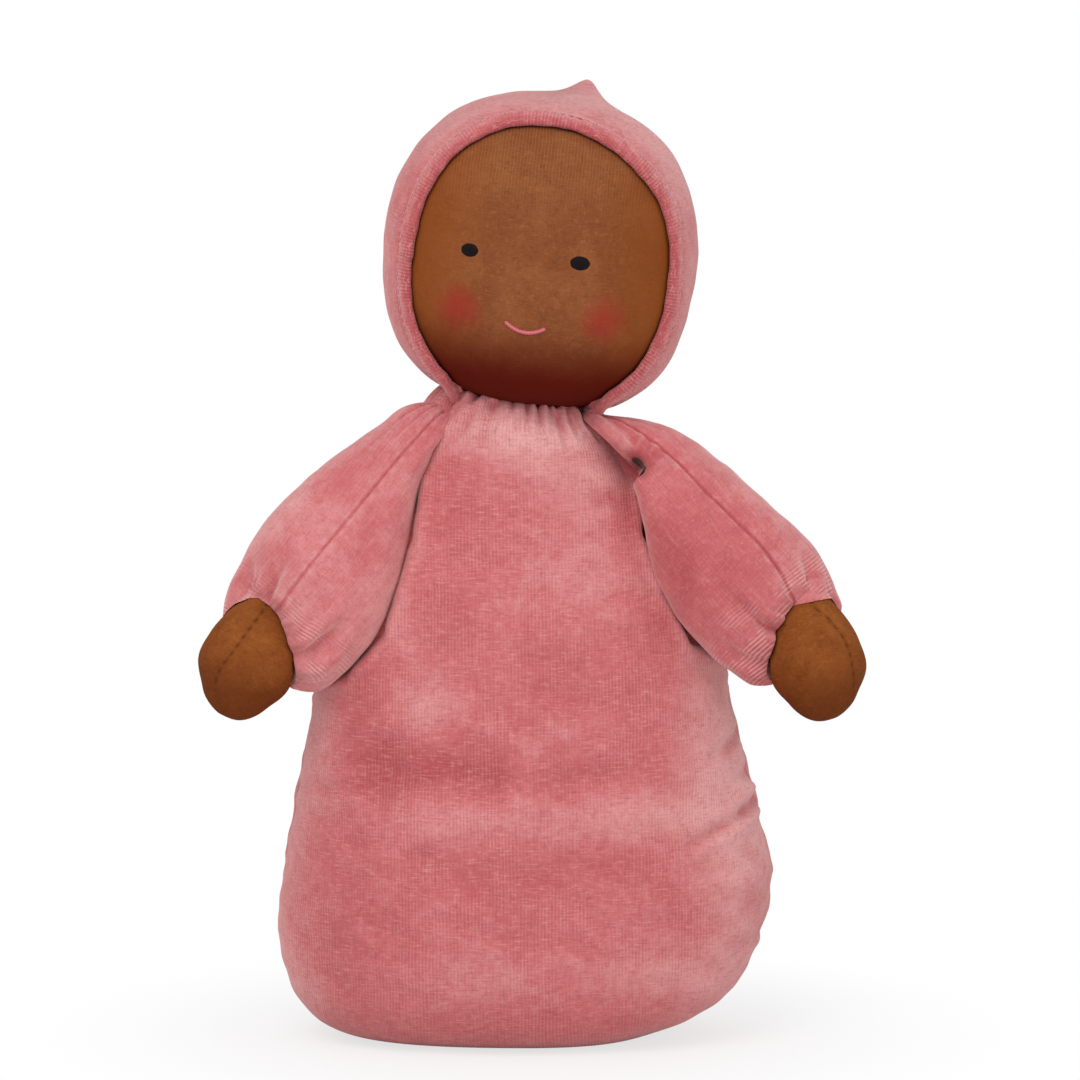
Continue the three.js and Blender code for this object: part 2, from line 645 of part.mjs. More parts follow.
function makeArm(side, owner) {
  const arm = new THREE.Group();
  const forward = radians(ARM_FORWARD);
  arm.position.copy(shoulderPoint(side));
  const drop = side > 0 ? radians(LEFT_ARM_DROP) : -radians(RIGHT_ARM_DROP);
  arm.rotation.set(0, drop, side > 0 ? -forward : Math.PI + forward, 'YXZ');
  arm.updateMatrix();
  const inwards = arm.matrix.clone().invert();
  const body = (growth) => solid(geometryOf(dimpledBody(-growth)).applyMatrix4(inwards));
  const hand = (growth) => solid(handGeometry(-growth, -WRIST_STUB - growth));
  const palm = (growth) => solid(palmGeometry(-growth));
  const sleeve = (inset, segments) => solid(sleeveGeometry(inset, segments)).subtract(body(GAP + inset));
  const lining = sleeve(VELOUR, FILLING_SEGMENTS).subtract(palm(GAP + VELOUR));
  const filling = sleeve(VELOUR + GAP, FILLING_SEGMENTS).subtract(palm(2 * GAP + VELOUR));
  const inHand = solid(handGeometry(JERSEY, -WRIST_STUB - OVERRUN));
  const tiePlace = polarPoint(shoulderTieRadius, SHOULDER_TIE_POLAR);
  const tie = ring(tiePlace.x, tiePlace.y).rotateY(Math.PI / 2);
  const wristPocket = solid(wristRing(THREAD + 2 * GAP));
  arm.add(
    piece(`sleeve_${owner}`, sleeve(0, SLEEVE_SEGMENTS).subtract(lining).subtract(hand(GAP)), velour),
    piece(`arm_stuffing_${owner}`, filling.subtract(hand(GAP)).subtract(wristPocket), wool),
    piece(`hand_skin_${owner}`, solid(handGeometry(0, -WRIST_STUB)).subtract(inHand), jersey),
    piece(`hand_stuffing_${owner}`, solid(handGeometry(JERSEY + GAP, -WRIST_STUB)), wool),
    piece(`wrist_thread_${owner}`, solid(wristRing(THREAD)), whiteThread),
    piece(`shoulder_tie_${owner}`, solid(tie), pinkThread),
  );
  return arm;
}

const lowerTie = neckTie('neck_tie_lower', LOWER_TIE_POLAR);
lowerTie.position.copy(neckPivot);

const doll = new THREE.Group();
doll.add(makeBody(), lowerTie, makeHead(), makeArm(-1, 'right'), makeArm(1, 'left'));

export default doll;
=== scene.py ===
import json
import math

import bmesh
import bpy
import numpy as np
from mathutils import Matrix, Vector


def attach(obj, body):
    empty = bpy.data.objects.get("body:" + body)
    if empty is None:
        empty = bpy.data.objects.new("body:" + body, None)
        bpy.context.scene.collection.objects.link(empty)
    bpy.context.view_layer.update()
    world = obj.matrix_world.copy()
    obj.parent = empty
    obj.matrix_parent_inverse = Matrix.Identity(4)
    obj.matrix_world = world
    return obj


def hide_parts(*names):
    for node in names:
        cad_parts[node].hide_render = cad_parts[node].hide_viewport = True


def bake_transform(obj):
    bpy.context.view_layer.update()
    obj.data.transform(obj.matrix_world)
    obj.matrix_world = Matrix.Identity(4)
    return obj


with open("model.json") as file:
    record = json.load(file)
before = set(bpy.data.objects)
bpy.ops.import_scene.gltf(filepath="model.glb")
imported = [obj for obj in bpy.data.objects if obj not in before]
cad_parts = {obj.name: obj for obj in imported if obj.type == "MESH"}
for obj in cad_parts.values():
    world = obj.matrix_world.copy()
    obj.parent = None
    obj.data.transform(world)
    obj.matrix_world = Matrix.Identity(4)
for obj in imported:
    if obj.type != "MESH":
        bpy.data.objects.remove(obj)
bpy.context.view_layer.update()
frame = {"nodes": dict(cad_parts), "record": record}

# Lengths are in millimetres until a mesh is made, and the doll faces -Y with its right arm at -X
MM = 0.001
JOINTS = {joint["name"]: joint for joint in frame["record"]["behaviour"]["joints"]}
NECK = np.array(JOINTS["head_turn"]["pos_m"]) / MM
HEAD_TILT = math.degrees(math.asin(JOINTS["head_turn"]["axis"][0]))
SHOULDERS = {side: np.array(JOINTS[f"{side}_arm_lift"]["pos_m"]) / MM for side in ("right", "left")}
ARM_DROPS = {side: math.degrees(math.asin(-JOINTS[f"{side}_arm_swing"]["axis"][0])) for side in SHOULDERS}
ARM_FORWARD = 11

# Head, measured from its middle
HEAD_LIFT = 57.3
SKIN_RADIUS = 46.8
SKIN_HALF_HEIGHT = 47.3
HOOD_RADIUS = 48.3
HOOD_HALF_HEIGHT = 48.8
UPPER_POWER = 2.3
LOWER_POWER = 2.8
RIGHT_CHEEK_SLIMNESS = 0.0014
FACE = {"half_width": 39.7, "top": 45.9, "bottom": 43.5, "drop": 4.6, "end": 43.8, "upper": 2.3, "lower": 2.1}
FACE_SHIFT = 0.5
BAND_WIDTH = 5.6
BAND_THICKNESS = 3.0
BAND_LIFT = 0.2 + BAND_THICKNESS / 2
BAND_STITCH = 2.6
EYE_RISE = 1.3
EYES = {"right": (-21.7, 6.0, 4.7), "left": (12.1, 7.4, 5.3)}
CHEEKS = ((-24.0, -17.0), (21.0, -16.0))
MOUTH_DROP = 19.1
HOOD_POINT = (8.3, 9.5, 46.8)

# Cloth
WALE = 1.08
NECK_PLEATS = 34
COLLAR_SLOPE = 0.115

# Height, half width on the doll's right and left, depth in front and behind
TORSO_ROWS = [
    (0, 46, 30, 25, 23), (0.7, 53, 36, 30, 28), (3.2, 60.5, 43.5, 36.5, 33.5), (8, 67.3, 55, 42.5, 38.8),
    (16.5, 72.9, 66, 46.8, 42.8), (27, 75.8, 71.8, 49.3, 45.4), (42, 76.2, 76.6, 50.2, 46),
    (52, 74.8, 78, 50, 45.8), (62, 73.7, 75.8, 48.9, 44.8), (73, 71.4, 73, 47.6, 43.6),
    (87, 68.5, 69.6, 46, 42.3), (116, 62, 62.4, 42.6, 38.9), (143.6, 53, 52.7, 38.2, 34.8),
    (166.8, 42.7, 42.7, 32.5, 29.9), (180.4, 36.2, 35.6, 28.7, 26.2), (188, 32.4, 31.2, 26.3, 23.9),
    (194, 29, 27.6, 24.2, 21.8), (198, 26.2, 24.8, 22, 19.8), (199.8, 24.2, 22.8, 20.2, 18.2),
    (199.2, 22.4, 21, 18.6, 16.8), (197, 21, 19.8, 17.4, 15.8),
]

# Way along the arm, half height above and below its axis, and half depth
SLEEVE_ROWS = {
    "right": [
        (-14.5, 2.5, 2, 2.5), (-13.2, 6, 3.6, 6.5), (-10, 10, 4.2, 10.2), (-4, 13.4, 4.2, 13),
        (5, 15.8, 5, 14.6), (14, 18.4, 8.4, 15.6), (24, 21, 13.8, 16.4), (38, 23, 20, 17.6),
        (52, 23.2, 24, 18.2), (64, 22.2, 25.2, 18), (73, 19.6, 24, 17.4), (79.5, 15.8, 21.4, 16),
        (83, 12.8, 18.6, 14.2), (83.6, 11.6, 16.6, 12.8), (82, 10.8, 14, 11.5), (78, 10.4, 11.6, 10.2),
        (72, 8.8, 9.6, 9), (66, 7.6, 8, 7.8), (63, 4, 4, 4),
    ],
    "left": [
        (-14.5, 1.6, 2, 2.5), (-13.2, 2.4, 3.4, 6.5), (-10, 3.6, 3.8, 10), (-4, 9.4, 3.4, 13),
        (5, 15.8, 2.8, 15), (14, 19, 4.2, 15.8), (24, 20.6, 10, 16.4), (38, 22.8, 17.6, 17.6),
        (52, 25, 21.4, 18.2), (65, 25, 21.6, 18), (75, 23.2, 20.6, 17.4), (82, 20.2, 18.2, 16),
        (85.8, 17, 15.4, 14.2), (86.4, 15, 13.8, 12.8), (84.8, 12.6, 12.6, 11.5), (80, 10.6, 11, 10.2),
        (74, 9, 9.6, 9), (68, 7.6, 8, 7.8), (65, 4, 4, 4),
    ],
}
SLEEVE_ENDS = {"right": 83.6, "left": 86.4}

# Of each sleeve: angle of its seam up from the middle of its front, how deep that seam is brushed, the nap
# of its middle and of the whole, and the seeds of its folds and of its cuff's gathers
SLEEVES = {
    "right": {"seam": 17, "seam_nap": 0.6, "middle_nap": -0.1, "tone_and_painted_light": 0.14, "seed": 71, "cuff_seed": 75},
    "left": {"seam": 42, "seam_nap": 1.3, "middle_nap": -0.65, "tone_and_painted_light": -0.1, "seed": 72, "cuff_seed": 76},
}

# Dark hollow at the doll's left shoulder: place on the sack, place on the sleeve
SACK_HOLLOW = (36.4, 181)
SLEEVE_PIT = (8.8, 2.6)

# How far the cuff is drawn back over the front of the hand, and the middle of that arch
CUFF_DRAWS = {"right": 16, "left": 14.2}
CUFF_ARCH = 30
CUFF_BEHIND = 4

# Folds of a cuff: angle from the middle of its front upwards, depth, spread and reach
CUFF_FOLDS = {
    "right": [
        (39, 3.4, 6, 12), (78, 3.0, 7, 12), (-43, 4.0, 7, 16), (8, 1.0, 7, 8), (-80, 1.5, 9, 8),
        (125, 2.6, 10, 11), (178, 2.8, 10, 12), (-122, 2.6, 10, 11),
    ],
    "left": [
        (-10, 4.0, 6.5, 16), (42, 1.4, 6, 8), (70, 3.0, 6, 9), (-52, 2.8, 8, 11), (-84, 1.6, 9, 8),
        (128, 2.6, 10, 11), (180, 2.6, 10, 12), (-128, 2.6, 10, 11),
    ],
}

# Way along the hand from its middle, and radius
HAND_ROWS = [
    (-22.5, 2), (-22.5, 4.4), (-21, 5.4), (-19.3, 6.4), (-17.8, 7.1), (-16.3, 7.9), (-14.7, 9.1),
    (-11.6, 10.9), (-8.5, 12.3), (-5.4, 13.5), (-2.3, 14.3), (0.8, 14.9), (3.2, 15), (5.6, 14.6),
    (8.5, 13.3), (11.6, 11.2), (14.7, 9.1), (16.4, 7.4), (17.8, 5.4), (18.7, 3.2), (19, 1.2),
]
HAND_DEPTH_SHARE = 0.92
HANDS = {"right": (83.8, 2.8, 1.4), "left": (89.3, -2.8, 2.6)}
HAND_DROPS = {"right": 19, "left": 32.5}

# Seam of a hand: way along it and angle from the middle of its front outwards
HAND_SEAMS = {
    "right": [(-20, 2), (-10.6, 15), (-4.2, 21), (1.3, 26), (7.4, 36), (16, 50)],
    "left": [(-20, 8), (-14.9, 22), (-12, 37), (-6.5, 48), (4.5, 51), (9.4, 60), (17, 75)],
}


def turn(axis, degrees):
    """Rotation matrix about a main axis."""
    c, s = math.cos(math.radians(degrees)), math.sin(math.radians(degrees))
    i, j = [(1, 2), (2, 0), (0, 1)]["xyz".index(axis)]
    made = np.eye(3)
    made[i, i] = made[j, j] = c
    made[j, i], made[i, j] = s, -s
    return made


def arm_matrix(side):
    sign = 1 if side == "left" else -1
    forward = -ARM_FORWARD if side == "left" else 180 + ARM_FORWARD
    return turn("y", sign * ARM_DROPS[side]) @ turn("z", forward)


def from_head(points):
    """Points of the tilted head, measured from its middle, as points of the doll."""
    points = np.array(points, float)
    slim = 1 - RIGHT_CHEEK_SLIMNESS * np.maximum(-points[..., 2], 0)
    points[..., 0] = np.where(points[..., 0] < 0, points[..., 0] * slim, points[..., 0])
    return (points + [0, 0, HEAD_LIFT]) @ turn("y", HEAD_TILT).T + NECK


def from_arm(points, side):
    return points @ arm_matrix(side).T + SHOULDERS[side]


def ring(count):
    """Even angles round a full turn."""
    return np.linspace(0, 2 * math.pi, count, endpoint=False)


def wrapped(angle):
    """The same angle between minus half a turn and half a turn."""
    return (angle + math.pi) % (2 * math.pi) - math.pi


def unit(vectors):
    return vectors / np.linalg.norm(vectors, axis=1)[:, None]


def path_lengths(path):
    """Distance along a path at each of its points."""
    return np.concatenate([[0], np.cumsum(np.linalg.norm(np.diff(path, axis=0), axis=1))])


def bell(value, width):
    return np.exp(-((value / width) ** 2))


def ramp(value, low, high):
    share = np.clip((value - low) / (high - low), 0, 1)
    return share * share * (3 - 2 * share)


def ripple(place, pitch, wander=0.0):
    """Even waves from 0 to 1, one for each pitch."""
    return 0.5 + 0.5 * np.sin(place * 2 * math.pi / pitch + wander)


# Shapes


def smooth_rows(rows, count):
    """A table turned into this many rows on a smooth curve through it."""
    rows = np.array(rows, float)
    at = np.concatenate([[0], np.cumsum(np.linalg.norm(np.diff(rows, axis=0), axis=1) ** 0.8)])
    slope = np.gradient(rows, at, axis=0)
    new = np.linspace(0, at[-1], count)
    k = np.clip(np.searchsorted(at, new, side="right") - 1, 0, len(at) - 2)
    step = (at[k + 1] - at[k])[:, None]
    s = (new - at[k])[:, None] / step
    start = (2 * s**3 - 3 * s**2 + 1) * rows[k] + (s**3 - 2 * s**2 + s) * step * slope[k]
    end = (3 * s**2 - 2 * s**3) * rows[k + 1] + (s**3 - s**2) * step * slope[k + 1]
    return start + end


def section_radius(angle, across, up, power):
    return ((np.abs(np.cos(angle)) / across) ** power + (np.abs(np.sin(angle)) / up) ** power) ** (-1 / power)


def waves(points, size, seed):
    """Smooth seeded noise, mostly between -1 and 1, with features of about this size."""
    count = 18
    rng = np.random.default_rng(seed)
    way = rng.normal(size=(count, 3))
    way *= (2 * math.pi / size * rng.uniform(0.5, 1.5, count) / np.linalg.norm(way, axis=1))[:, None]
    return np.sin(points @ way.T + rng.uniform(0, 2 * math.pi, count)).sum(-1) / math.sqrt(count)


def ring_waves(angle, seed, highest, strength):
    """Smooth seeded noise round a ring."""
    rng = np.random.default_rng(seed)
    total = np.zeros_like(angle)
    for k in range(1, highest + 1):
        total += strength / math.sqrt(k) * rng.normal() * np.sin(k * angle + rng.uniform(0, 2 * math.pi))
    return total


def pleats(angle, count, seed):
    """Height of irregular gathers round a ring, from 0 in their valleys to 1 on their crests."""
    phase = count * angle + ring_waves(angle, seed, 7, 1.1)
    return np.abs(np.sin(phase / 2)) ** 0.8


def line_distance(points, line):
    """Distance of each point from a line of several points, and how far along the line that is."""
    best = np.full(points.shape[:-1], 1e9)
    along = np.zeros(points.shape[:-1])
    done = 0.0
    for a, b in zip(np.array(line[:-1], float), np.array(line[1:], float)):
        length = np.linalg.norm(b - a)
        t = np.clip((points - a) @ (b - a) / length**2, 0, 1)
        away = np.linalg.norm(points - a - t[..., None] * (b - a), axis=-1)
        closer = away < best
        best[closer] = away[closer]
        along[closer] = done + t[closer] * length
        done += length
    return best, along / done


def grid_normals(grid):
    """Outward normals of a grid whose rows run round the piece."""
    across = np.roll(grid, -1, 1) - np.roll(grid, 1, 1)
    normal = np.cross(across, np.gradient(grid, axis=0))
    normal /= np.maximum(np.linalg.norm(normal, axis=-1), 1e-9)[..., None]
    outward = ((grid - grid.mean((0, 1))) * normal).sum(-1).mean()
    return normal * (1 if outward > 0 else -1)


def pushed(grid, amount):
    """The grid moved along its normals."""
    return grid + grid_normals(grid) * amount[..., None]


def closed(grid):
    """The grid with its first column again at its end."""
    return np.concatenate([grid, grid[:, :1]], 1)


def arc_lengths(grid):
    """Distance round each row, from its first point."""
    steps = np.linalg.norm(np.diff(closed(grid), axis=1), axis=-1)
    return np.concatenate([np.zeros((len(grid), 1)), np.cumsum(steps, 1)], 1)


def corner_values(values):
    """Values at the four corners of every face, from values at points."""
    return np.stack([values[:-1, :-1], values[:-1, 1:], values[1:, 1:], values[1:, :-1]], 2)


def cloth_map(grid):
    """Cloth coordinates in millimetres at every face corner: round the piece and along it."""
    round_it = arc_lengths(grid)
    steps = np.linalg.norm(np.diff(grid, axis=0), axis=-1).mean(1)
    along = np.concatenate([[0], np.cumsum(steps)])
    return corner_values(np.stack([round_it, np.repeat(along[:, None], round_it.shape[1], 1)], -1))


def grid_piece(name, grid, cloth, caps=(False, False), tone_and_painted_light=None):
    """A smooth mesh over a grid of points; a cap closes its first or last row onto its middle."""
    rows, cols = grid.shape[:2]
    r, c = np.meshgrid(np.arange(rows - 1), np.arange(cols), indexing="ij")
    a, b = r * cols + c, r * cols + (c + 1) % cols
    faces = np.stack([a, b, b + cols, a + cols], -1).reshape(-1, 4).tolist()
    corners = cloth.reshape(-1, 2).tolist()
    points = grid.reshape(-1, 3).tolist()
    tones_at_points = None if tone_and_painted_light is None else tone_and_painted_light.reshape(-1).tolist()
    for used, row, order in ((caps[0], 0, -1), (caps[1], rows - 1, 1)):
        if not used:
            continue
        middle = len(points)
        points.append(grid[row].mean(0).tolist())
        if tones_at_points is not None:
            tones_at_points.append(float(tone_and_painted_light[row].mean()))
        for i in range(cols):
            pair = [row * cols + i, row * cols + (i + 1) % cols][::order]
            faces.append([*pair, middle])
            place = cloth[min(row, rows - 2), i, 0].tolist()
            corners += [place, place, place]
    mesh = bpy.data.meshes.new(name)
    mesh.from_pydata((np.array(points) * MM).tolist(), [], faces)
    layer = mesh.uv_layers.new(name="cloth")
    layer.uv.foreach_set("vector", np.array(corners, np.float32).ravel())
    # The attribute holds the nap together with the light and shade painted on the cloth
    if tones_at_points is not None:
        mesh.attributes.new("tone_and_painted_light", "FLOAT", "POINT").data.foreach_set("value", tones_at_points)
    return finished(name, mesh)


def finished(name, mesh):
    work = bmesh.new()
    work.from_mesh(mesh)
    bmesh.ops.recalc_face_normals(work, faces=work.faces)
    work.to_mesh(mesh)
    work.free()
    mesh.shade_smooth()
    return linked(name, mesh)


def linked(name, data):
    """A new object of the scene."""
    made = bpy.data.objects.new(name, data)
    bpy.context.scene.collection.objects.link(made)
    return made


def aimed(made, place, way):
    """Puts a light or a camera at a place and turns it this way."""
    made.location = place
    made.rotation_mode = "QUATERNION"
    made.rotation_quaternion = way.to_track_quat("-Z", "Y")


def thicken(piece, thickness):
    """Gives a piece the thickness of its cloth, inwards."""
    piece.modifiers.new("cloth", "SOLIDIFY").thickness = thickness * MM


def tube_piece(name, path, radius, sides, twist=0.0, ridges=0.0):
    """A thread along a path; ridges and twist give it the look of plied yarn."""
    path = np.array(path, float)
    along = unit(np.gradient(path, axis=0))
    side = unit(np.cross(along, [0.123, 0.2, 0.97]))
    up = np.cross(side, along)
    angle = ring(sides)
    length = path_lengths(path)
    ends = np.minimum(1, np.sqrt(np.clip(np.minimum(length, length[-1] - length) / radius, 0.05, 1)))
    reach = radius * ends[:, None] * (1 + ridges * np.abs(np.sin(angle[None] + twist * length[:, None])))
    round_it = np.cos(angle)[None, :, None] * side[:, None] + np.sin(angle)[None, :, None] * up[:, None]
    grid = path[:, None] + reach[..., None] * round_it
    return grid_piece(name, grid, cloth_map(grid), (True, True))


def tubes_piece(name, paths, radius):
    """Many short threads in one piece."""
    parts = [tube_piece(f"{name}_{i}", path, radius, 8) for i, path in enumerate(paths)]
    work = bmesh.new()
    for part in parts:
        work.from_mesh(part.data)
    mesh = bpy.data.meshes.new(name)
    work.to_mesh(mesh)
    work.free()
    for part in parts:
        bpy.data.meshes.remove(part.data)
    return finished(name, mesh)


# Materials


def linear(color):
    """A colour as it looks on screen, 0 to 255, turned into light."""
    parts = [c / 255 for c in color]
    return (*[p / 12.92 if p <= 0.04045 else ((p + 0.055) / 1.055) ** 2.4 for p in parts], 1.0)


class Nodes:
    """A material and short ways to add its nodes."""

    def __init__(self, name):
        self.material = bpy.data.materials.new(name)
        self.material.use_nodes = True
        self.tree = self.material.node_tree
        self.shader = self.tree.nodes["Principled BSDF"]
        self.output = self.tree.nodes["Material Output"]
        self.object = self.add("ShaderNodeTexCoord").outputs["Object"]

    def add(self, kind, inputs=(), **settings):
        made = self.tree.nodes.new(kind)
        for key, value in settings.items():
            setattr(made, key, value)
        for key, value in dict(inputs).items():
            self.put(made.inputs[key], value)
        return made

    def put(self, socket, value):
        if isinstance(value, bpy.types.NodeSocket):
            self.tree.links.new(value, socket)
        else:
            socket.default_value = value

    def math(self, operation, first, second=0.0, clamp=False):
        made = self.add("ShaderNodeMath", {0: first, 1: second}, operation=operation, use_clamp=clamp)
        return made.outputs[0]

    def plus(self, first, second):
        return self.math("ADD", first, second)

    def times(self, first, second, clamp=False):
        return self.math("MULTIPLY", first, second, clamp)

    def mix(self, share, first, second):
        made = self.add("ShaderNodeMix", data_type="RGBA")
        self.put(made.inputs["Factor"], share)
        for socket, color in zip([s for s in made.inputs if s.type == "RGBA"], (first, second)):
            self.put(socket, color)
        return [s for s in made.outputs if s.type == "RGBA"][0]

    def noise(self, scale, detail=2.0, roughness=0.5, vector=None):
        made = self.add("ShaderNodeTexNoise", {"Scale": scale, "Detail": detail, "Roughness": roughness})
        self.put(made.inputs["Vector"], self.object if vector is None else vector)
        return made.outputs["Fac"]

    def spread(self, value, low, high, to_high=1.0, to_low=0.0):
        made = self.add("ShaderNodeMapRange", interpolation_type="SMOOTHSTEP")
        names = ("Value", "From Min", "From Max", "To Max", "To Min")
        for key, given in zip(names, (value, low, high, to_high, to_low)):
            self.put(made.inputs[key], given)
        return made.outputs["Result"]

    def cloth(self):
        """Cloth coordinates in millimetres."""
        place = self.add("ShaderNodeUVMap", uv_map="cloth")
        parts = self.add("ShaderNodeSeparateXYZ", {0: place.outputs["UV"]})
        return parts.outputs[0], parts.outputs[1]

    def stretched_noise(self, u, v, length, width):
        """Noise in streaks of this length along u and this width along v, in millimetres."""
        parts = {0: self.math("DIVIDE", u, length), 1: self.math("DIVIDE", v, width)}
        return self.noise(1.0, 3.0, 0.6, self.add("ShaderNodeCombineXYZ", parts).outputs[0])

    def lines(self, place, pitch):
        """Even lines, from 0 between them to 1 on their middles."""
        wave = self.math("SINE", self.times(place, 2 * math.pi / pitch))
        return self.plus(self.times(wave, 0.5), 0.5)

    def bump(self, height, strength, distance, under=None):
        made = self.add("ShaderNodeBump", {"Height": height, "Strength": strength, "Distance": distance})
        if under is not None:
            self.put(made.inputs["Normal"], under)
        return made.outputs["Normal"]

    def tone_and_painted_light(self):
        """The nap of a piece, the depth of its seams, and the light and shade painted on it, kept at its
        points.
        """
        return self.add("ShaderNodeAttribute", attribute_name="tone_and_painted_light").outputs["Fac"]

    def set(self, **values):
        """Inputs of the shader by their names, with _ for a space."""
        for key, value in values.items():
            self.put(self.shader.inputs[key.replace("_", " ")], value)

    def over(self, share, color):
        """Mixes another colour into a finished material."""
        before = self.shader.inputs["Base Color"].links[0].from_socket
        self.set(Base_Color=self.mix(share, before, color))


def velour_material(name="velour", wales="across", ribs=1.0, streaks=1.0):
    """Cotton velour: wales, hairline streaks across them, a nap brushed pale or deep that also carries
    painted sheen and painted shade, near-black painted shade in the hollows, and a pale rim.
    """
    n = Nodes(name)
    u, v = n.cloth() if wales == "across" else n.cloth()[::-1]
    wander = n.times(n.noise(45.0, 1.0), 1.2)
    rib = n.lines(n.plus(u, wander), WALE)
    clear = n.spread(n.noise(70.0, 2.0), 0.38, 0.62, 1.0, 0.15)
    fine, speck = n.noise(1300.0, 3.0, 0.65), n.noise(520.0, 2.0, 0.6)
    grain, streak = n.stretched_noise(v, u, 9.0, 1.3), n.stretched_noise(u, v, 4.5, 0.5)
    deep, plain, pale = linear((176, 81, 85)), linear((203, 111, 114)), linear((227, 168, 166))
    body = n.mix(n.spread(n.noise(24.0, 3.0, 0.6), 0.3, 0.7, 1.0, 0.75), deep, plain)
    scatter = n.spread(n.noise(300.0, 4.0, 0.7), 0.34, 0.68, 0.11, -0.09)
    # The attribute brings brushed nap, painted sheen and highlight, and painted shade in folds, creases and
    # hollows
    tone_and_painted_light = n.tone_and_painted_light()
    brushed_and_lit = n.plus(tone_and_painted_light, scatter)
    body = n.mix(n.times(brushed_and_lit, 0.9, clamp=True), body, pale)
    body = n.mix(n.times(brushed_and_lit, -1.2, clamp=True), body, deep)
    layers = (
        (grain, 0.46, 0.3, 0.2, (166, 76, 80)),
        (grain, 0.54, 0.7, 0.14, (230, 168, 164)),
        (rib, 0.45, 0.0, 0.23 * ribs, (154, 70, 74)),
        (rib, 0.6, 1.0, 0.13 * ribs, (234, 174, 170)),
        (streak, 0.47, 0.32, 0.35 * streaks, (158, 70, 74)),
        (streak, 0.52, 0.68, 0.32 * streaks, (234, 170, 162)),
        (speck, 0.44, 0.28, 0.22, (160, 74, 78)),
        (speck, 0.54, 0.78, 0.14, (234, 176, 172)),
        (fine, 0.45, 0.72, 0.3, (164, 80, 84)),
        (fine, 0.45, 0.25, 0.22, (230, 164, 160)),
    )
    for value, start, full, most, color in layers:
        share = n.spread(value, start, full, most)
        body = n.mix(n.times(share, clear) if value is rib else share, body, linear(color))
    # Painted shade: where the attribute falls far below zero, in the shoulder hollow, the sleeve's pit and
    # the creases beside the sleeves, the cloth turns near black
    body = n.mix(n.spread(tone_and_painted_light, -1.1, -2.2), body, linear((44, 12, 16)))
    n.set(Base_Color=body, Roughness=0.92, Specular_IOR_Level=0.1)
    n.set(Sheen_Weight=0.6, Sheen_Roughness=0.4, Sheen_Tint=linear((248, 214, 210)))
    height = n.plus(n.times(rib, 0.6 * ribs), n.times(fine, 0.5))
    normal = n.bump(height, 0.55, 0.00025)
    n.set(Normal=n.bump(speck, 0.35, 0.0005, normal))
    return n


def sleeve_material():
    """Velour with faint wales, crossed near the drawn-in cuff by ribs whose crowns are painted pale as sheen
    and whose gaps are painted darker as shade.
    """
    n = velour_material("sleeve_velour", "across", 0.3, 0.35)
    v = n.cloth()[1]
    wobble = n.times(n.noise(50.0, 1.0), 4.0)
    rib = n.lines(n.plus(v, wobble), 1.1)
    near = n.times(n.spread(v, 57, 72), n.spread(n.noise(130.0, 2.0), 0.45, 0.58))
    # Painted sheen on the cuff ribs' crowns and painted shade between them
    n.over(n.times(near, n.spread(rib, 0.5, 1.0, 0.4)), linear((244, 200, 196)))
    n.over(n.times(near, n.spread(rib, 0.45, 0.0, 0.3)), linear((160, 76, 80)))
    return n


def jersey_material(name, low, high, seam_and_shadow):
    """Fine cotton jersey with a heathered look, darker in its seams and with a painted shadow under the
    hood's edge.
    """
    n = Nodes(name)
    u, v = n.cloth()
    wander = n.times(n.noise(140.0, 2.0), 1.4)
    stitch = n.math("ABSOLUTE", n.math("SUBTRACT", n.lines(n.plus(u, wander), 1.0), 0.5))
    course = n.lines(n.plus(v, n.times(stitch, 0.35)), 0.55)
    knit = n.plus(n.times(stitch, 0.8), n.times(course, 0.5))
    speck, heather = n.noise(1000.0, 3.0, 0.7), n.noise(420.0, 3.0, 0.7)
    streak = n.stretched_noise(u, v, 4.5, 0.4)
    body = n.mix(n.spread(n.noise(65.0, 3.0, 0.6), 0.36, 0.64, 0.85, 0.15), low, high)
    layers = (
        (speck, 0.45, 0.25, 0.36, scaled(low, 0.5)),
        (speck, 0.52, 0.78, 0.36, scaled(high, 1.6)),
        (heather, 0.45, 0.3, 0.36, scaled(low, 0.55)),
        (heather, 0.55, 0.7, 0.34, scaled(high, 1.5)),
        (streak, 0.44, 0.28, 0.42, scaled(low, 0.55)),
        (streak, 0.56, 0.72, 0.34, scaled(high, 1.6)),
        (knit, 0.45, 0.15, 0.3, scaled(low, 0.6)),
    )
    for value, start, full, most, color in layers:
        body = n.mix(n.spread(value, start, full, most), body, color)
    n.set(Base_Color=body, Roughness=0.9, Specular_IOR_Level=0.05)
    # Darkens the seams and the painted shadow under the hood's edge that the attribute holds
    n.over(n.times(n.tone_and_painted_light(), seam_and_shadow, clamp=True), scaled(low, 0.16))
    normal = n.bump(knit, 0.4, 0.00012)
    n.set(Normal=n.bump(n.noise(480.0, 3.0, 0.6), 0.25, 0.00035, normal))
    return n


def scaled(color, factor):
    return [min(1, c * factor) for c in color[:3]] + [1.0]


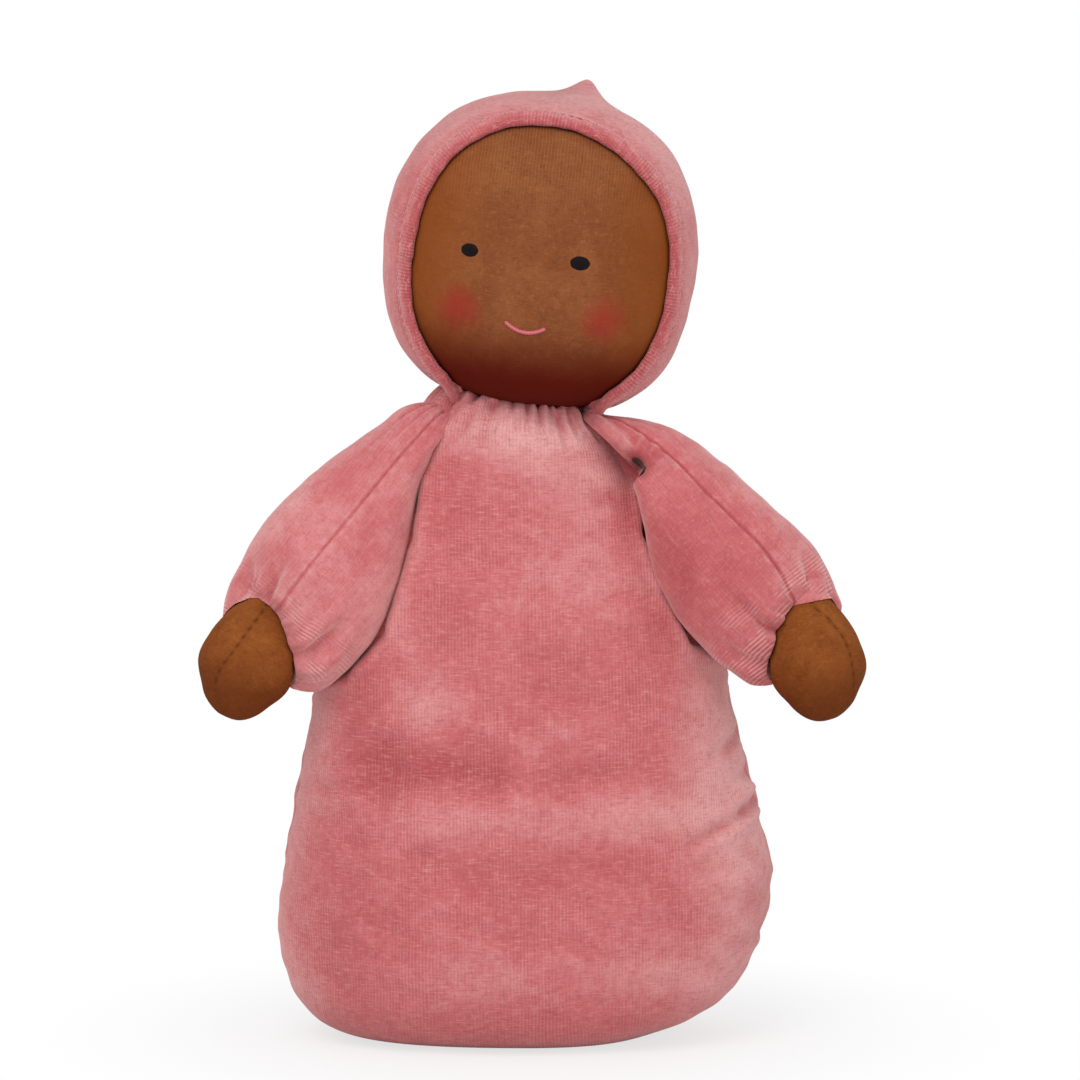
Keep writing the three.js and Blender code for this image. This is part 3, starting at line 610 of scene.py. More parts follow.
def face_material():
    """Jersey that is warmer at its sides, with rosy cheeks and a deep red chin, partly a red flush and partly
    painted shade under the head.
    """
    n = jersey_material("face_jersey", linear((126, 71, 41)), linear((142, 85, 51)), 0.85)
    u, v = n.cloth()
    n.over(n.spread(n.math("ABSOLUTE", u), 12, 40, 0.75), linear((138, 72, 26)))
    rib = n.lines(n.plus(u, n.times(n.noise(160.0), 1.2)), 1.0)
    brow = n.spread(v, 8, 34, 0.22)
    n.over(n.times(n.spread(rib, 0.4, 1.0), brow), linear((172, 112, 72)))
    ragged = n.times(n.math("SUBTRACT", n.noise(110.0, 3.0, 0.6), 0.5), 6.0)
    for across, up in CHEEKS:
        reach = [n.math("POWER", n.math("SUBTRACT", a, b), 2.0) for a, b in ((u, across), (v, up))]
        away = n.plus(n.math("SQRT", n.plus(*reach)), ragged)
        n.over(n.spread(away, 10.0, 0.5, 0.66), linear((156, 42, 42)))
    # Deep red chin: partly a red flush, partly painted shade under the head
    n.over(n.spread(n.plus(v, ragged), -15.5, -38, 0.97), linear((88, 20, 10)))
    return n.material


def hand_material():
    """Jersey that darkens towards the tip of the hand, partly a red flush and partly painted shade on its
    lower end.
    """
    n = jersey_material("hand_jersey", linear((126, 68, 30)), linear((147, 84, 40)), 0.75)
    v = n.cloth()[1]
    # Darker tip: partly a red flush, partly painted shade
    n.over(n.spread(v, 18, 46, 0.62), linear((90, 36, 14)))
    return n.material


def thread_material(name, color, roughness, pitch, shine, contrast=1.0):
    """Embroidery thread: fine strands along it and a soft gloss."""
    n = Nodes(name)
    u = n.cloth()[0]
    strand = n.lines(n.plus(u, n.times(n.noise(700.0), 0.25)), pitch)
    body = n.mix(n.spread(strand, 0.6, 1.0, 0.5 * contrast), color, scaled(color, 1.7))
    body = n.mix(n.spread(strand, 0.3, 0.0, 0.7 * contrast), body, scaled(color, 0.45))
    n.set(Base_Color=body, Roughness=roughness, Specular_IOR_Level=shine)
    n.set(Normal=n.bump(strand, 0.6, 0.00015))
    return n.material


def dress(piece, material, slot, body, *nodes, fill=None):
    """Gives a piece its material, the body it rides on and the CAD nodes that it stands for."""
    piece.data.materials.append(material)
    if body:
        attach(piece, body)
    if nodes:
        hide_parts(*nodes)
    return piece


# Torso

# Creases and dents of the front: depth, width, and places across and up
EDGE_CREASES = [
    (2.2, 2.2, [(-22, 200), (-27, 193), (-33.5, 178), (-36, 158), (-45, 130), (-55, 118), (-69, 110)]),
    (3.2, 2.4, [(35.5, 181), (36.5, 172), (38.5, 159), (44.5, 142), (52, 128), (62, 117.5)]),
]
NECK_TUCKS = [
    (1.3, 1.3, [(-14.4, 201.5), (-21.5, 196.5), (-27, 191)]),
    (1.0, 1.2, [(-11.6, 200), (-17.6, 194), (-21.5, 189)]),
    (1.2, 1.1, [(-9.6, 199.5), (-11.5, 194), (-13.8, 188)]),
    (0.9, 0.8, [(-5.6, 199), (-6.2, 195), (-6.4, 193)]),
    (1.2, 0.8, [(-2.2, 199), (-2.2, 195), (-2.3, 191.5)]),
    (0.9, 0.7, [(1, 199), (0.8, 194), (0.6, 191)]),
    (1.8, 0.9, [(3.9, 199), (4.4, 195), (5.2, 191)]),
    (1.2, 0.8, [(7, 198.8), (7.7, 195), (8.4, 191.5)]),
    (2.2, 1.1, [(9, 198.5), (10.2, 193.5), (12.9, 187)]),
    (1.5, 0.9, [(12.4, 198), (13.8, 194), (15.4, 190.5)]),
    (1.8, 1.0, [(15.7, 197.5), (18.6, 193), (22.4, 188.5)]),
]
SIDE_CREASES = [
    (3.0, 1.7, [(77, 76), (68, 73.5), (59, 69.5), (50, 65)]),
    (1.8, 1.8, [(72, 97), (65, 93.5), (57, 91)]),
    (1.4, 1.8, [(75, 85), (68, 83), (62, 82)]),
    (1.2, 2.2, [(76, 35), (68, 32), (61, 31)]),
    (1.1, 2.2, [(-72, 78), (-64, 81), (-55, 82)]),
]
SOFT_DENTS = [
    (1.8, 7, [(-42, 89), (-26, 90), (-8, 88)]),
    (1.4, 6, [(12, 86), (24, 87), (38, 88)]),
    (1.0, 6, [(-30, 60), (0, 57), (30, 61)]),
]

# Rings of the collar and of the tuck inside it: half width, half depth and height
OUTER_COLLAR = [
    (20.2, 17, 192), (21.4, 17.8, 196), (21.4, 17.8, 198.8), (20.2, 16.9, 200.2), (18.6, 15.6, 199.8),
]
INNER_COLLAR = [
    (17.4, 15, 193), (18.4, 15.8, 197), (18.2, 15.6, 199.6), (16.6, 14.4, 200.6), (14, 12.5, 199.8),
]

# Where the nap is brushed pale, or deep where it is negative, partly real nap and partly painted sheen and
# painted shade: place, half width and height, and how much
NAP_SHEEN_AND_SHADE_PATCHES = [
    (65, 93, 13, 32, 0.75), (67, 62, 14, 24, 0.4), (57, 118, 12, 16, 0.3), (-33, 111, 16, 11, 0.42),
    (-64, 99, 7, 20, 0.25), (-61, 74, 9, 16, 0.12), (-50, 106, 9, 22, -0.65), (-4, 88, 44, 26, -0.12),
    (-14, 89, 40, 7, -0.42), (38, 103, 12, 12, -0.3), (34, 77, 22, 8, 0.3), (28, 59, 19, 9, -0.42),
    (2, 44, 34, 12, -0.22), (-48, 42, 14, 22, -0.3), (-66, 20, 8, 10, 0.25), (45, 25, 26, 11, 0.42),
    (-2, 12, 30, 8, -0.2), (3, 191, 24, 6, 0.75), (-4, 185, 20, 7, 0.2), (22, 177, 13, 12, 0.32),
    (-22, 183, 8, 9, -0.1), (24, 148, 13, 17, 0.25), (32, 160, 8, 10, -0.4), (-24, 145, 13, 22, -0.32),
    (6, 128, 22, 14, -0.24), (-38, 133, 7, 10, 0.35), (44, 128, 9, 12, -0.3),
]


def on_front(grid, places):
    """Points of the grid's front nearest to places given across and up."""
    front = grid.reshape(-1, 3)
    front = front[front[:, 1] < 2]
    found = [front[np.argmin(((front[:, [0, 2]] - place) ** 2).sum(1))] for place in np.array(places, float)]
    return np.array(found)


def neck_slope(x, share):
    """The neck edge lies lower on the doll's left."""
    return -COLLAR_SLOPE * (x - NECK[0]) * share


def torso_grid(rows, cols):
    table = smooth_rows(TORSO_ROWS, rows)
    angle = ring(cols)[None]
    height, right, left, front, back = np.hsplit(table, 5)
    across = np.where(np.cos(angle) < 0, right, left)
    depth = np.where(np.sin(angle) < 0, front, back)
    radius = section_radius(angle, across, depth, 2.3)
    x = NECK[0] * height / 194 + radius * np.cos(angle)
    z = height + neck_slope(x, np.clip((height - 150) / 46, 0, 1) ** 2)
    return np.stack([x, radius * np.sin(angle), z], -1)


def gathers(grid, angle, edge):
    """The neck's fine gathers: shallow in front, where single tucks follow, and deep behind."""
    below = np.maximum(edge - grid[..., 2], 0)
    front = ramp(-np.sin(angle), -0.2, 0.5)
    reach = 8.5 + 5 * np.clip(ring_waves(angle, 5, 19, 0.7), -0.9, 1.6)
    depth = 2.1 * (1 - 0.85 * front) * np.exp(-((below / reach) ** 1.2)) + 0.8 * front * bell(below, 3.0)
    plump = bell(below - 8, 8) * (0.7 + 0.5 * pleats(angle, NECK_PLEATS // 3, 11))
    return 0.8 * plump - depth * (1 - pleats(angle, NECK_PLEATS, 3))


def under_sleeve(grid):
    """The cloth at the doll's left shoulder lies under the sleeve's flap, with a dark hollow at its end."""
    front = ramp(-grid[..., 1], 2, 10)
    above = 0.63 * (grid[..., 0] - 18.5) + 0.777 * (grid[..., 2] - 195)
    return -front * (4.5 * ramp(above, -0.5, 2.5) + 8 * hollow(grid))


def hollow(grid):
    """How much of the small dark hollow at the doll's left shoulder is at each place of its front."""
    away = np.hypot(grid[..., 0] - SACK_HOLLOW[0], grid[..., 2] - SACK_HOLLOW[1])
    return bell(away, 3.4) * ramp(-grid[..., 1], 0, 6)


def torso_folds(grid, angle):
    edge = 199.5 + neck_slope(grid[..., 0], 1)
    amount = gathers(grid, angle, edge) + under_sleeve(grid)
    above_floor = np.clip(grid[..., 2] / 20, 0, 1)
    amount += above_floor * (0.5 * waves(grid, 46, 21) + 0.25 * waves(grid * [1, 1, 1.8], 17, 22))
    for creases, fading in ((EDGE_CREASES, 0.0), (NECK_TUCKS, 0.6), (SIDE_CREASES, 0.75), (SOFT_DENTS, 0.5)):
        for depth, width, places in creases:
            away, along = line_distance(grid, on_front(grid, places))
            depth_here = depth * (1 - fading * along) * (0.25 + 0.75 * ramp(np.abs(grid[..., 1]), 0, 7))
            amount -= depth_here * bell(away, width)
            amount += 0.45 * depth_here * bell(away - 2.2 * width, width)
    return amount + seam_groove(grid)


def seam_groove(grid):
    """The two side seams: a narrow furrow with small puckers."""
    away = np.abs(grid[..., 1])
    pucker = ripple(grid[..., 2], 7.3, 2 * np.sin(grid[..., 2] / 9))
    return -ramp(grid[..., 2], 6, 26) * (0.7 * bell(away, 0.9) + 0.5 * pucker * bell(away, 3.4))


def torso_cloth(grid, cols):
    """Cloth coordinates of the front and back panels, each from its own middle line."""
    lengths = arc_lengths(grid)
    along = np.repeat(grid[..., 2].mean(1)[:, None], cols + 1, 1)
    sides = [lengths - lengths[:, [middle]] for middle in (3 * cols // 4, cols // 4)]
    front, back = (corner_values(np.stack([side, along], -1)) for side in sides)
    return np.where((np.arange(cols) >= cols // 2)[None, :, None, None], front, back)


def torso_tone_and_painted_light(grid, normal, folds):
    tone_and_painted_light = 0.06 + 0.05 * waves(grid, 34, 31) + 0.045 * waves(grid * [1, 1, 1.7], 12, 32)
    tone_and_painted_light += 0.03 * waves(grid, 5, 34)
    # Painted sheen where the sides turn away, painted highlight on fold crests and painted shade in fold
    # valleys
    tone_and_painted_light += 0.24 * ramp(np.abs(normal[..., 0]), 0.5, 1) + 0.26 * np.clip(folds, -2, 1)
    ragged = 1 + 0.25 * waves(grid * [1, 1, 1.5], 11, 33)
    for across, up, half_width, half_height, share in NAP_SHEEN_AND_SHADE_PATCHES:
        away = np.hypot((grid[..., 0] - across) / half_width, (grid[..., 2] - up) / half_height)
        tone_and_painted_light += share * bell(away, 1) * ragged * ramp(-grid[..., 1], -10, 6)
    # Painted shade: the shoulder hollow is darkened far below the nap
    tone_and_painted_light = np.clip(tone_and_painted_light, -1, 1) - 2.2 * ramp(hollow(grid), 0.3, 0.7)
    # Painted shade along the creases beside the sleeves
    for depth, width, places in EDGE_CREASES:
        away, along = line_distance(grid, on_front(grid, places))
        tone_and_painted_light -= 0.45 * depth * (1 - 0.8 * along) * bell(away, 0.6 * width)
    return tone_and_painted_light


def make_torso(velour):
    rows, cols = 300, 600
    grid = torso_grid(rows, cols)
    angle = np.repeat(ring(cols)[None], rows, 0)
    folds = torso_folds(grid, angle)
    grid = pushed(grid, folds)
    grid[..., 2] = np.maximum(grid[..., 2], 0)
    tone_and_painted_light = torso_tone_and_painted_light(grid, grid_normals(grid), folds)
    piece = grid_piece("velour_sack", grid, torso_cloth(grid, cols), (True, False), tone_and_painted_light)
    dress(piece, velour, "velour", "torso", "body_front", "body_back", "body_stuffing", fill=0.7)


def collar_ring(name, profile, seed, shift):
    """A gathered ring of cloth round the neck from a table of radii across and deep, and heights."""
    cols, rows = 384, 18
    table = smooth_rows(profile, rows)
    angle = np.repeat(ring(cols)[None], rows, 0)
    folds = pleats(angle + shift, NECK_PLEATS, seed) - 0.6
    radius = section_radius(angle, table[:, :1], table[:, 1:2], 2.2) + folds
    x = NECK[0] + radius * np.cos(angle)
    z = table[:, 2:] + neck_slope(x, 1) + 0.3 * np.sin(NECK_PLEATS * angle + seed)
    grid = np.stack([x, radius * np.sin(angle), z], -1)
    # Brushed pale nap, which also paints the sheen that the gathers catch
    tone_and_painted_light = 0.5 + 0.25 * waves(grid, 6, seed)
    piece = grid_piece(name, grid, cloth_map(grid), tone_and_painted_light=tone_and_painted_light)
    thicken(piece, 0.8)
    return piece


def make_collar(velour):
    piece = dress(collar_ring("collar_gathers", OUTER_COLLAR, 3, 0), velour, "velour", None, "neck_tie_lower")
    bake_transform(piece)
    piece = dress(collar_ring("collar_tuck", INNER_COLLAR, 8, 0.1), velour, "velour", None, "neck_tie_upper")
    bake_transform(piece)


# Head


def head_reach(way, radius, half_height):
    """Distance from the head's middle to its surface in these directions."""
    girth = np.hypot(way[..., 0], way[..., 1])
    power = np.where(way[..., 2] < 0, LOWER_POWER, UPPER_POWER)
    return ((girth / radius) ** power + (np.abs(way[..., 2]) / half_height) ** power) ** (-1 / power)


def on_head(x, up, lift):
    """Points of the face lifted off the skin."""
    x, up = np.asarray(x, float), np.asarray(up, float)
    radius, half = SKIN_RADIUS + lift, SKIN_HALF_HEIGHT + lift
    power = np.where(up < 0, LOWER_POWER, UPPER_POWER)
    girth = radius * (1 - np.minimum(np.abs(up) / half, 1) ** power) ** (1 / power)
    return np.stack([x, -np.sqrt(np.maximum(girth**2 - x**2, 0)), up], -1)


def face_direction(around, away):
    """Direction at this angle round the face, from straight up, and this far from straight ahead."""
    return np.stack([np.sin(away) * np.sin(around), -np.cos(away), np.sin(away) * np.cos(around)], -1)


def plane_map(grid, across, up):
    """Cloth coordinates seen straight on: two of the grid's own directions."""
    return corner_values(closed(grid)[..., [across, up]])


def turning_map(grid):
    """Cloth coordinates round the head from the middle of its back, and up."""
    x, y, z = np.moveaxis(closed(grid), -1, 0)
    corners = corner_values(np.stack([np.arctan2(x, y), z], -1))
    corners[..., 0] -= 2 * math.pi * np.round((corners[..., 0] - corners[..., :1, 0]) / (2 * math.pi))
    return corners * [HOOD_RADIUS, 1]


def make_face(jersey):
    rows, cols = 230, 360
    around = ring(cols)[None]
    away = np.linspace(0.01, math.radians(150), rows)[:, None]
    way = face_direction(around + 0 * away, away + 0 * around)
    grid = way * head_reach(way, SKIN_RADIUS, SKIN_HALF_HEIGHT)[..., None]
    front = np.clip(-way[..., 1], 0, 1)
    amount = 0.12 * waves(grid, 24, 41) + front * 0.3 * bell(grid[..., 2] + 15, 12)
    grid = grid + way * amount[..., None]
    # Painted shadow: a thin dark line on the face just inside the hood band's edge
    from_edge = line_distance(grid[..., [0, 2]], face_edge(120))[0]
    tone_and_painted_light = bell(np.maximum(from_edge - 0.1, 0), 0.9) * (way[..., 1] < 0.2)
    piece = grid_piece("head_jersey", from_head(grid), plane_map(grid, 0, 2), (True, True), tone_and_painted_light)
    inside = ("head_skin", "head_gauze", "head_core", "eye_line_thread", "core_neck_thread")
    dress(piece, jersey, "jersey", "head", *inside, fill=0.95)


def make_neck(jersey):
    """The stuffed end of the neck inside the collar."""
    table = smooth_rows([(3, -9), (11, -8), (13, 0), (12.4, 6), (10.5, 9), (10.5, 16)], 30)
    angle = ring(64)[None]
    radius = table[:, :1] + 0 * angle
    grid = np.stack([radius * np.cos(angle), radius * np.sin(angle), table[:, 1:] + 0 * angle], -1)
    placed = grid @ turn("y", HEAD_TILT).T + NECK
    piece = grid_piece("neck_jersey", placed, cloth_map(grid), (True, True))
    dress(piece, jersey, "jersey", "head")


def face_edge(count):
    """Edge of the face opening across and up, from the doll's right side of the neck to its left."""
    half, end = FACE["half_width"], FACE["end"] - FACE["drop"]
    drop = np.linspace(end, 0, count // 4, endpoint=False)
    side = half * (1 - (drop / FACE["bottom"]) ** FACE["lower"]) ** (1 / FACE["lower"])
    angle = np.linspace(math.pi, 0, count)
    reach = section_radius(angle, half, FACE["top"], FACE["upper"])
    reach -= 2.1 * bell(angle - math.radians(60), 0.42)
    brow = np.stack([reach * np.cos(angle), reach * np.sin(angle) - FACE["drop"]], -1)
    slim = 1 - RIGHT_CHEEK_SLIMNESS * (FACE["drop"] + drop)
    right = np.stack([-side / slim, -FACE["drop"] - drop], -1)
    left = np.stack([side, -FACE["drop"] - drop], -1)
    edge = np.concatenate([right, brow, left[::-1]]) + [FACE_SHIFT, 0]
    steps = path_lengths(edge)
    even = np.linspace(0, steps[-1], count)
    return np.stack([np.interp(even, steps, edge[:, i]) for i in (0, 1)], -1)


def edge_frames(count, lift):
    """Points along the face edge with the ways out of the skin and off the face."""
    edge = face_edge(count)
    point = on_head(edge[:, 0], edge[:, 1], lift)
    girth = np.hypot(point[:, 0], point[:, 1])
    power = np.where(point[:, 2] < 0, LOWER_POWER, UPPER_POWER)
    flat = girth ** (power - 1) / SKIN_RADIUS**power / np.maximum(girth, 1e-6)
    rise = np.sign(point[:, 2]) * np.abs(point[:, 2]) ** (power - 1) / SKIN_HALF_HEIGHT**power
    out = unit(np.stack([flat * point[:, 0], flat * point[:, 1], rise], -1))
    off = unit(np.cross(out, unit(np.gradient(point, axis=0))))
    return point, out, off


def make_band(velour):
    """The turned edge of the hood, round and soft, with its wales across it and its ends tucked in."""
    count, sides = 620, 48
    point, out, off = edge_frames(count, BAND_LIFT)
    angle = ring(sides)[None]
    reach = section_radius(angle, BAND_WIDTH / 2, BAND_THICKNESS / 2, 2.3)
    length = path_lengths(point)[:, None]
    swell = 1 + 0.06 * np.sin(length / 7) + 0.05 * np.sin(length / 2.9 + 1) + 0.03 * np.sin(length / 1.1)
    across = BAND_WIDTH / 2 + reach * np.cos(angle) * swell
    rise = reach * np.sin(angle) * swell
    across = across - 0.3 * np.sin(length * 2 * math.pi / BAND_STITCH) * np.clip(np.cos(angle), 0, 1)
    grid = point[:, None] + across[..., None] * off[:, None] + rise[..., None] * out[:, None]
    inside = np.clip(1 - np.minimum(length, length[-1] - length) / 9, 0, 1)[..., None] ** 1.5
    grid = grid + inside * [0, 10, -5]
    # Painted highlight on the band's outer crest and painted shade on its inner side towards the face
    outer = np.clip(np.sin(angle), 0, 1) * (0.5 + 0.5 * np.cos(angle))
    tone_and_painted_light = 0.5 * outer - 0.75 * np.clip(-np.cos(angle), 0, 1) ** 1.5 - 0.16
    tone_and_painted_light = tone_and_painted_light + 0.3 * bell(angle - 0.45, 0.3) + 0.12 * waves(grid, 9, 51) + 0.12 * waves(grid, 4, 52)
    piece = grid_piece("hood_band", from_head(grid), cloth_map(grid), (True, True), np.clip(tone_and_painted_light, -1, 1))
    dress(piece, velour, "velour", "head", "hood_binding")


def make_band_stitches(thread):
    """Small stitches that hold the band's edge down on the hood."""
    point, out, off = edge_frames(900, BAND_LIFT)
    seam = point + off * (BAND_WIDTH + 0.1) + out * 0.55
    length = path_lengths(seam)
    starts = np.arange(7, length[-1] - 8, BAND_STITCH)
    stitches = []
    for start in starts:
        share = np.linspace(0, 1, 7)
        path = np.stack([np.interp(start + 1.7 * share, length, seam[:, i]) for i in range(3)], -1)
        lift = np.stack([np.interp(start + 1.7 * share, length, out[:, i]) for i in range(3)], -1)
        stitches.append(from_head(path + lift * (0.25 * np.sin(math.pi * share))[:, None]))
    dress(tubes_piece("band_stitches", stitches, 0.2), thread, "pink_thread", "head")


def hood_start(around):
    """How far from straight ahead the hood begins at each angle round the face."""
    point, _, off = edge_frames(400, BAND_LIFT)
    rim = point + off * (BAND_WIDTH - 1)
    angle = np.arctan2(rim[:, 0], rim[:, 2])
    away = np.arccos(-rim[:, 1] / np.linalg.norm(rim, axis=1))
    start = np.interp(around, angle, away)
    last = angle[-1]
    back = (np.abs(around) - last) / (math.pi - last)
    neck = start.max() + (math.radians(122) - start.max()) * np.sin(np.clip(back, 0, 1) * math.pi / 2)
    return np.where(np.abs(around) > last, np.maximum(neck, start), start)


def make_hood(velour):
    rows, cols = 190, 420
    around = np.linspace(-math.pi, math.pi, cols, endpoint=False)[None]
    start = hood_start(around)
    share = np.linspace(0, 1, rows)[:, None] ** 1.25
    away = start + (math.radians(178.5) - start) * share
    way = face_direction(around + 0 * away, away)
    grid = way * head_reach(way, HOOD_RADIUS, HOOD_HALF_HEIGHT)[..., None]
    gap = (away - start) * HOOD_RADIUS
    grid = with_point(grid + way * hood_folds(grid, gap)[..., None])
    normal = grid_normals(grid)
    # Painted light: paler where the hood faces up and towards the doll's left; painted highlight on the ridge
    # beside the band and painted shade in the tuck under it
    tone_and_painted_light = 0.7 * np.clip(normal[..., 2], 0, 1) ** 1.5 - 0.06 + 0.4 * ramp(normal[..., 0], 0.3, 1)
    tone_and_painted_light += 0.1 * waves(grid, 22, 63) + 0.07 * waves(grid, 7, 64)
    tone_and_painted_light = np.clip(tone_and_painted_light + 0.35 * bell(gap - 1.6, 1.2) - 0.5 * bell(gap, 0.9), -1, 1)
    piece = grid_piece("hood_velour", from_head(grid), turning_map(grid), (False, True), tone_and_painted_light)
    thicken(piece, 1.0)
    dress(piece, velour, "velour", "head", "hood")


def hood_folds(grid, gap):
    """The hood tucked under its stitched edge, its soft dents and the seam down its back."""
    along = np.cumsum(np.linalg.norm(np.diff(grid[:1], axis=1, append=grid[:1, :1]), axis=-1), 1)
    pucker = ripple(along, BAND_STITCH, np.sin(along / 11))
    amount = -1.3 * bell(gap, 0.9) + (0.25 + 0.25 * pucker) * bell(gap - 1.7, 1.0) - 0.3 * bell(gap - 4, 1.2)
    amount += 0.3 * waves(grid, 34, 61) + 0.12 * waves(grid, 13, 62)
    seam = np.abs(grid[..., 0] - 8.5 * np.clip(grid[..., 2] / 45, 0, 1))
    stitch = ripple(grid[..., 2], 6.1, np.sin(grid[..., 2] / 5))
    return amount - ramp(grid[..., 1], 8, 16) * (0.8 * bell(seam, 0.9) + 0.4 * stitch * bell(seam, 3.4))


def with_point(grid):
    """The hood's small soft point, a little to the doll's left and behind the crown."""
    away = np.linalg.norm((grid - HOOD_POINT) * [1, 0.85, 0.6], axis=-1)
    pull = np.exp(-((away / 4.9) ** 1.7))
    return grid + pull[..., None] * [0.8, 1.2, 5.2] + bell(away, 8)[..., None] * [0, 0, 0.7]


def make_eye(side, thread):
    """An eye of satin stitches, domed and finely ridged."""
    middle, width, height = EYES[side]
    rows, cols = 40, 120
    angle = ring(cols)[None]
    share = np.linspace(0.02, 1, rows)[:, None]
    edge = 1 + 0.012 * np.sin(7 * angle + 1)
    x = middle + width / 2 * share * np.cos(angle) * edge
    up = EYE_RISE + height / 2 * share * np.sin(angle) * edge
    satin = 0.06 * np.abs(np.sin(x * math.pi / 0.42))
    lift = 1.35 * np.sqrt(np.clip(1 - share**2.4, 0, 1)) + satin * (1 - share**4) - 0.75
    grid = on_head(x, up, 0.0) * (1 + lift / SKIN_RADIUS)[..., None]
    piece = grid_piece(f"satin_eye_{side}", from_head(grid), plane_map(grid, 0, 2), (True, False))
    dress(piece, thread, "dark_thread", "head", f"eye_{side}")


def make_mouth(thread):
    share = np.linspace(-1, 1, 90)
    x = -2.5 + 6.4 * share
    up = -MOUTH_DROP - 2.3 * (1 - share**2) - 0.4 * share
    piece = tube_piece("smile_thread", from_head(on_head(x, up, 0.2)), 0.47, 14, 3.4, 0.35)
    dress(piece, thread, "pink_thread", "head", "mouth_thread")


# Arms


def from_front(angle, side):
    """Angle round a sleeve from the middle of its front, up to its upper side."""
    return wrapped(angle if side == "right" else math.pi - angle)


def cuff_folds(turned, to_cuff, side):
    """Depth of the few deep folds where the cuff is drawn in, and of the fine gathers between them."""
    to_cuff = np.maximum(to_cuff, 0)
    depth = np.zeros_like(turned)
    for place, fold, spread, reach in CUFF_FOLDS[side]:
        spread = math.radians(spread)
        off = np.abs(wrapped(turned - math.radians(place)))
        depth -= fold * bell(off, spread) * np.exp(-((to_cuff / reach) ** 1.6))
        depth += 0.35 * fold * bell(off - 2.2 * spread, spread) * bell(to_cuff, reach)
    fine = pleats(turned, 31, SLEEVES[side]["cuff_seed"]) - 0.6
    return depth + 0.6 * fine * np.exp(-((to_cuff / 5) ** 1.3))


def cuff_draw(turned, side):
    """How far the cuff is drawn back: most over the front of the hand, in an arch."""
    off = wrapped(turned - math.radians(CUFF_ARCH))
    arch = np.where(off > 0, np.exp(-((off / 1.1) ** 4)), bell(off, 1.62))
    return CUFF_DRAWS[side] * arch + CUFF_BEHIND * np.maximum(-np.cos(turned), 0) ** 2


def hand_matrix(side):
    return turn("y", 90 + HAND_DROPS[side])


def on_hand(points, side, share):
    """Points of a cuff kept off the hand and, as far as the share says, laid against it."""
    local = (points - HANDS[side]) @ hand_matrix(side)
    rows = np.array(HAND_ROWS)[1:]
    target = np.maximum(np.interp(local[..., 2], rows[:, 0], rows[:, 1]), 6.5) + 0.45
    reach = np.maximum(np.hypot(local[..., 0], local[..., 1] / HAND_DEPTH_SHARE), 0.1)
    inside = (reach < target) & (local[..., 2] > -24) & (local[..., 2] < 18)
    wanted = np.where(inside, target, reach + share * (target - reach))
    local[..., :2] *= (wanted / reach)[..., None]
    return local @ hand_matrix(side).T + HANDS[side]


def sleeve_grid(side, rows, cols):
    """A puffed sleeve along +X from its shoulder, with its upper side towards +Z, bowed to the front."""
    table = smooth_rows(SLEEVE_ROWS[side], rows)
    angle = ring(cols)[None] + np.zeros((rows, 1))
    along, upper, lower, depth = np.hsplit(table, 4)
    turned = from_front(angle, side)
    draw = cuff_draw(turned, side) * ramp(along, 40, 80)
    radius = section_radius(angle, depth, np.where(np.sin(angle) < 0, lower, upper), 2.2)
    radius = radius + cuff_folds(turned, SLEEVE_ENDS[side] - along, side) * np.minimum(radius / 12, 1)
    bow = 4 * np.sin(math.pi * np.clip(along / 88, 0, 1)) + 3.5 * bell(along + 4, 12)
    forward = radius * np.cos(angle) + bow * (1 if side == "right" else -1)
    grid = np.stack([along - draw, forward, radius * np.sin(angle)], -1)
    tip = int(np.argmax(table[:, 0]))
    share = ramp(np.arange(rows), tip - 14, tip + 2)[:, None]
    return np.where(along[..., None] > 50, on_hand(grid, side, 0.85 * share), grid), turned


def sleeve_seam(grid, turned, side):
    """The sleeve's seam on its front, above the middle, with small puckers beside it."""
    away = np.abs(turned - math.radians(SLEEVES[side]["seam"])) * np.hypot(grid[..., 1], grid[..., 2])
    stitch = ripple(grid[..., 0], 3.6)
    groove = -0.75 * bell(away, 0.6) * (0.6 + 0.4 * stitch)
    pucker = -0.3 * bell(away, 2.6) * (0.6 + 0.4 * np.sin(grid[..., 0] / 2.3))
    return groove + pucker + 0.22 * bell(away - 3.1, 1.8), away


def sleeve_folds(grid, turned, side):
    seed = SLEEVES[side]["seed"]
    root = np.maximum(grid[..., 0] + 8, 0)
    amount = -0.8 * (1 - pleats(turned, 12, seed + 2)) * np.exp(-((root / 13) ** 1.5))
    amount += 0.45 * waves(grid, 30, seed + 6) + 0.18 * waves(grid, 12, seed + 7)
    if side == "left":
        amount += shoulder_flap(grid) * ramp(np.cos(turned), 0.0, 0.45)
    return amount


def shoulder_flap(grid):
    """The doll's left sleeve ends in a flap over the neck's edge, pinched to a dark hollow at its end."""
    along, up = grid[..., 0], grid[..., 2]
    below = -0.7 + 0.182 * (along + 10.4) - up
    amount = -6.5 * ramp(below, -0.2, 1.8) * ramp(13 - along, 0, 3.5)
    amount += 1.4 * bell(below + 2.4, 1.9) * ramp(12 - along, 0, 5)
    across, rise = along - SLEEVE_PIT[0], up - SLEEVE_PIT[1]
    away = np.hypot(across, rise)
    ribs = 0.9 * np.sin(9 * np.arctan2(rise, across)) * bell(away - 6.6, 2.1)
    ribs *= ramp(rise - 0.5 * across, -1, 3)
    return amount + ribs - 10 * shoulder_pit(grid) + 1.6 * bell(np.hypot(along - 19, up - 6), 7)


def shoulder_pit(grid):
    """The pinched pit at the end of the flap."""
    return bell(np.hypot(grid[..., 0] - SLEEVE_PIT[0], grid[..., 2] - SLEEVE_PIT[1]), 3.2)


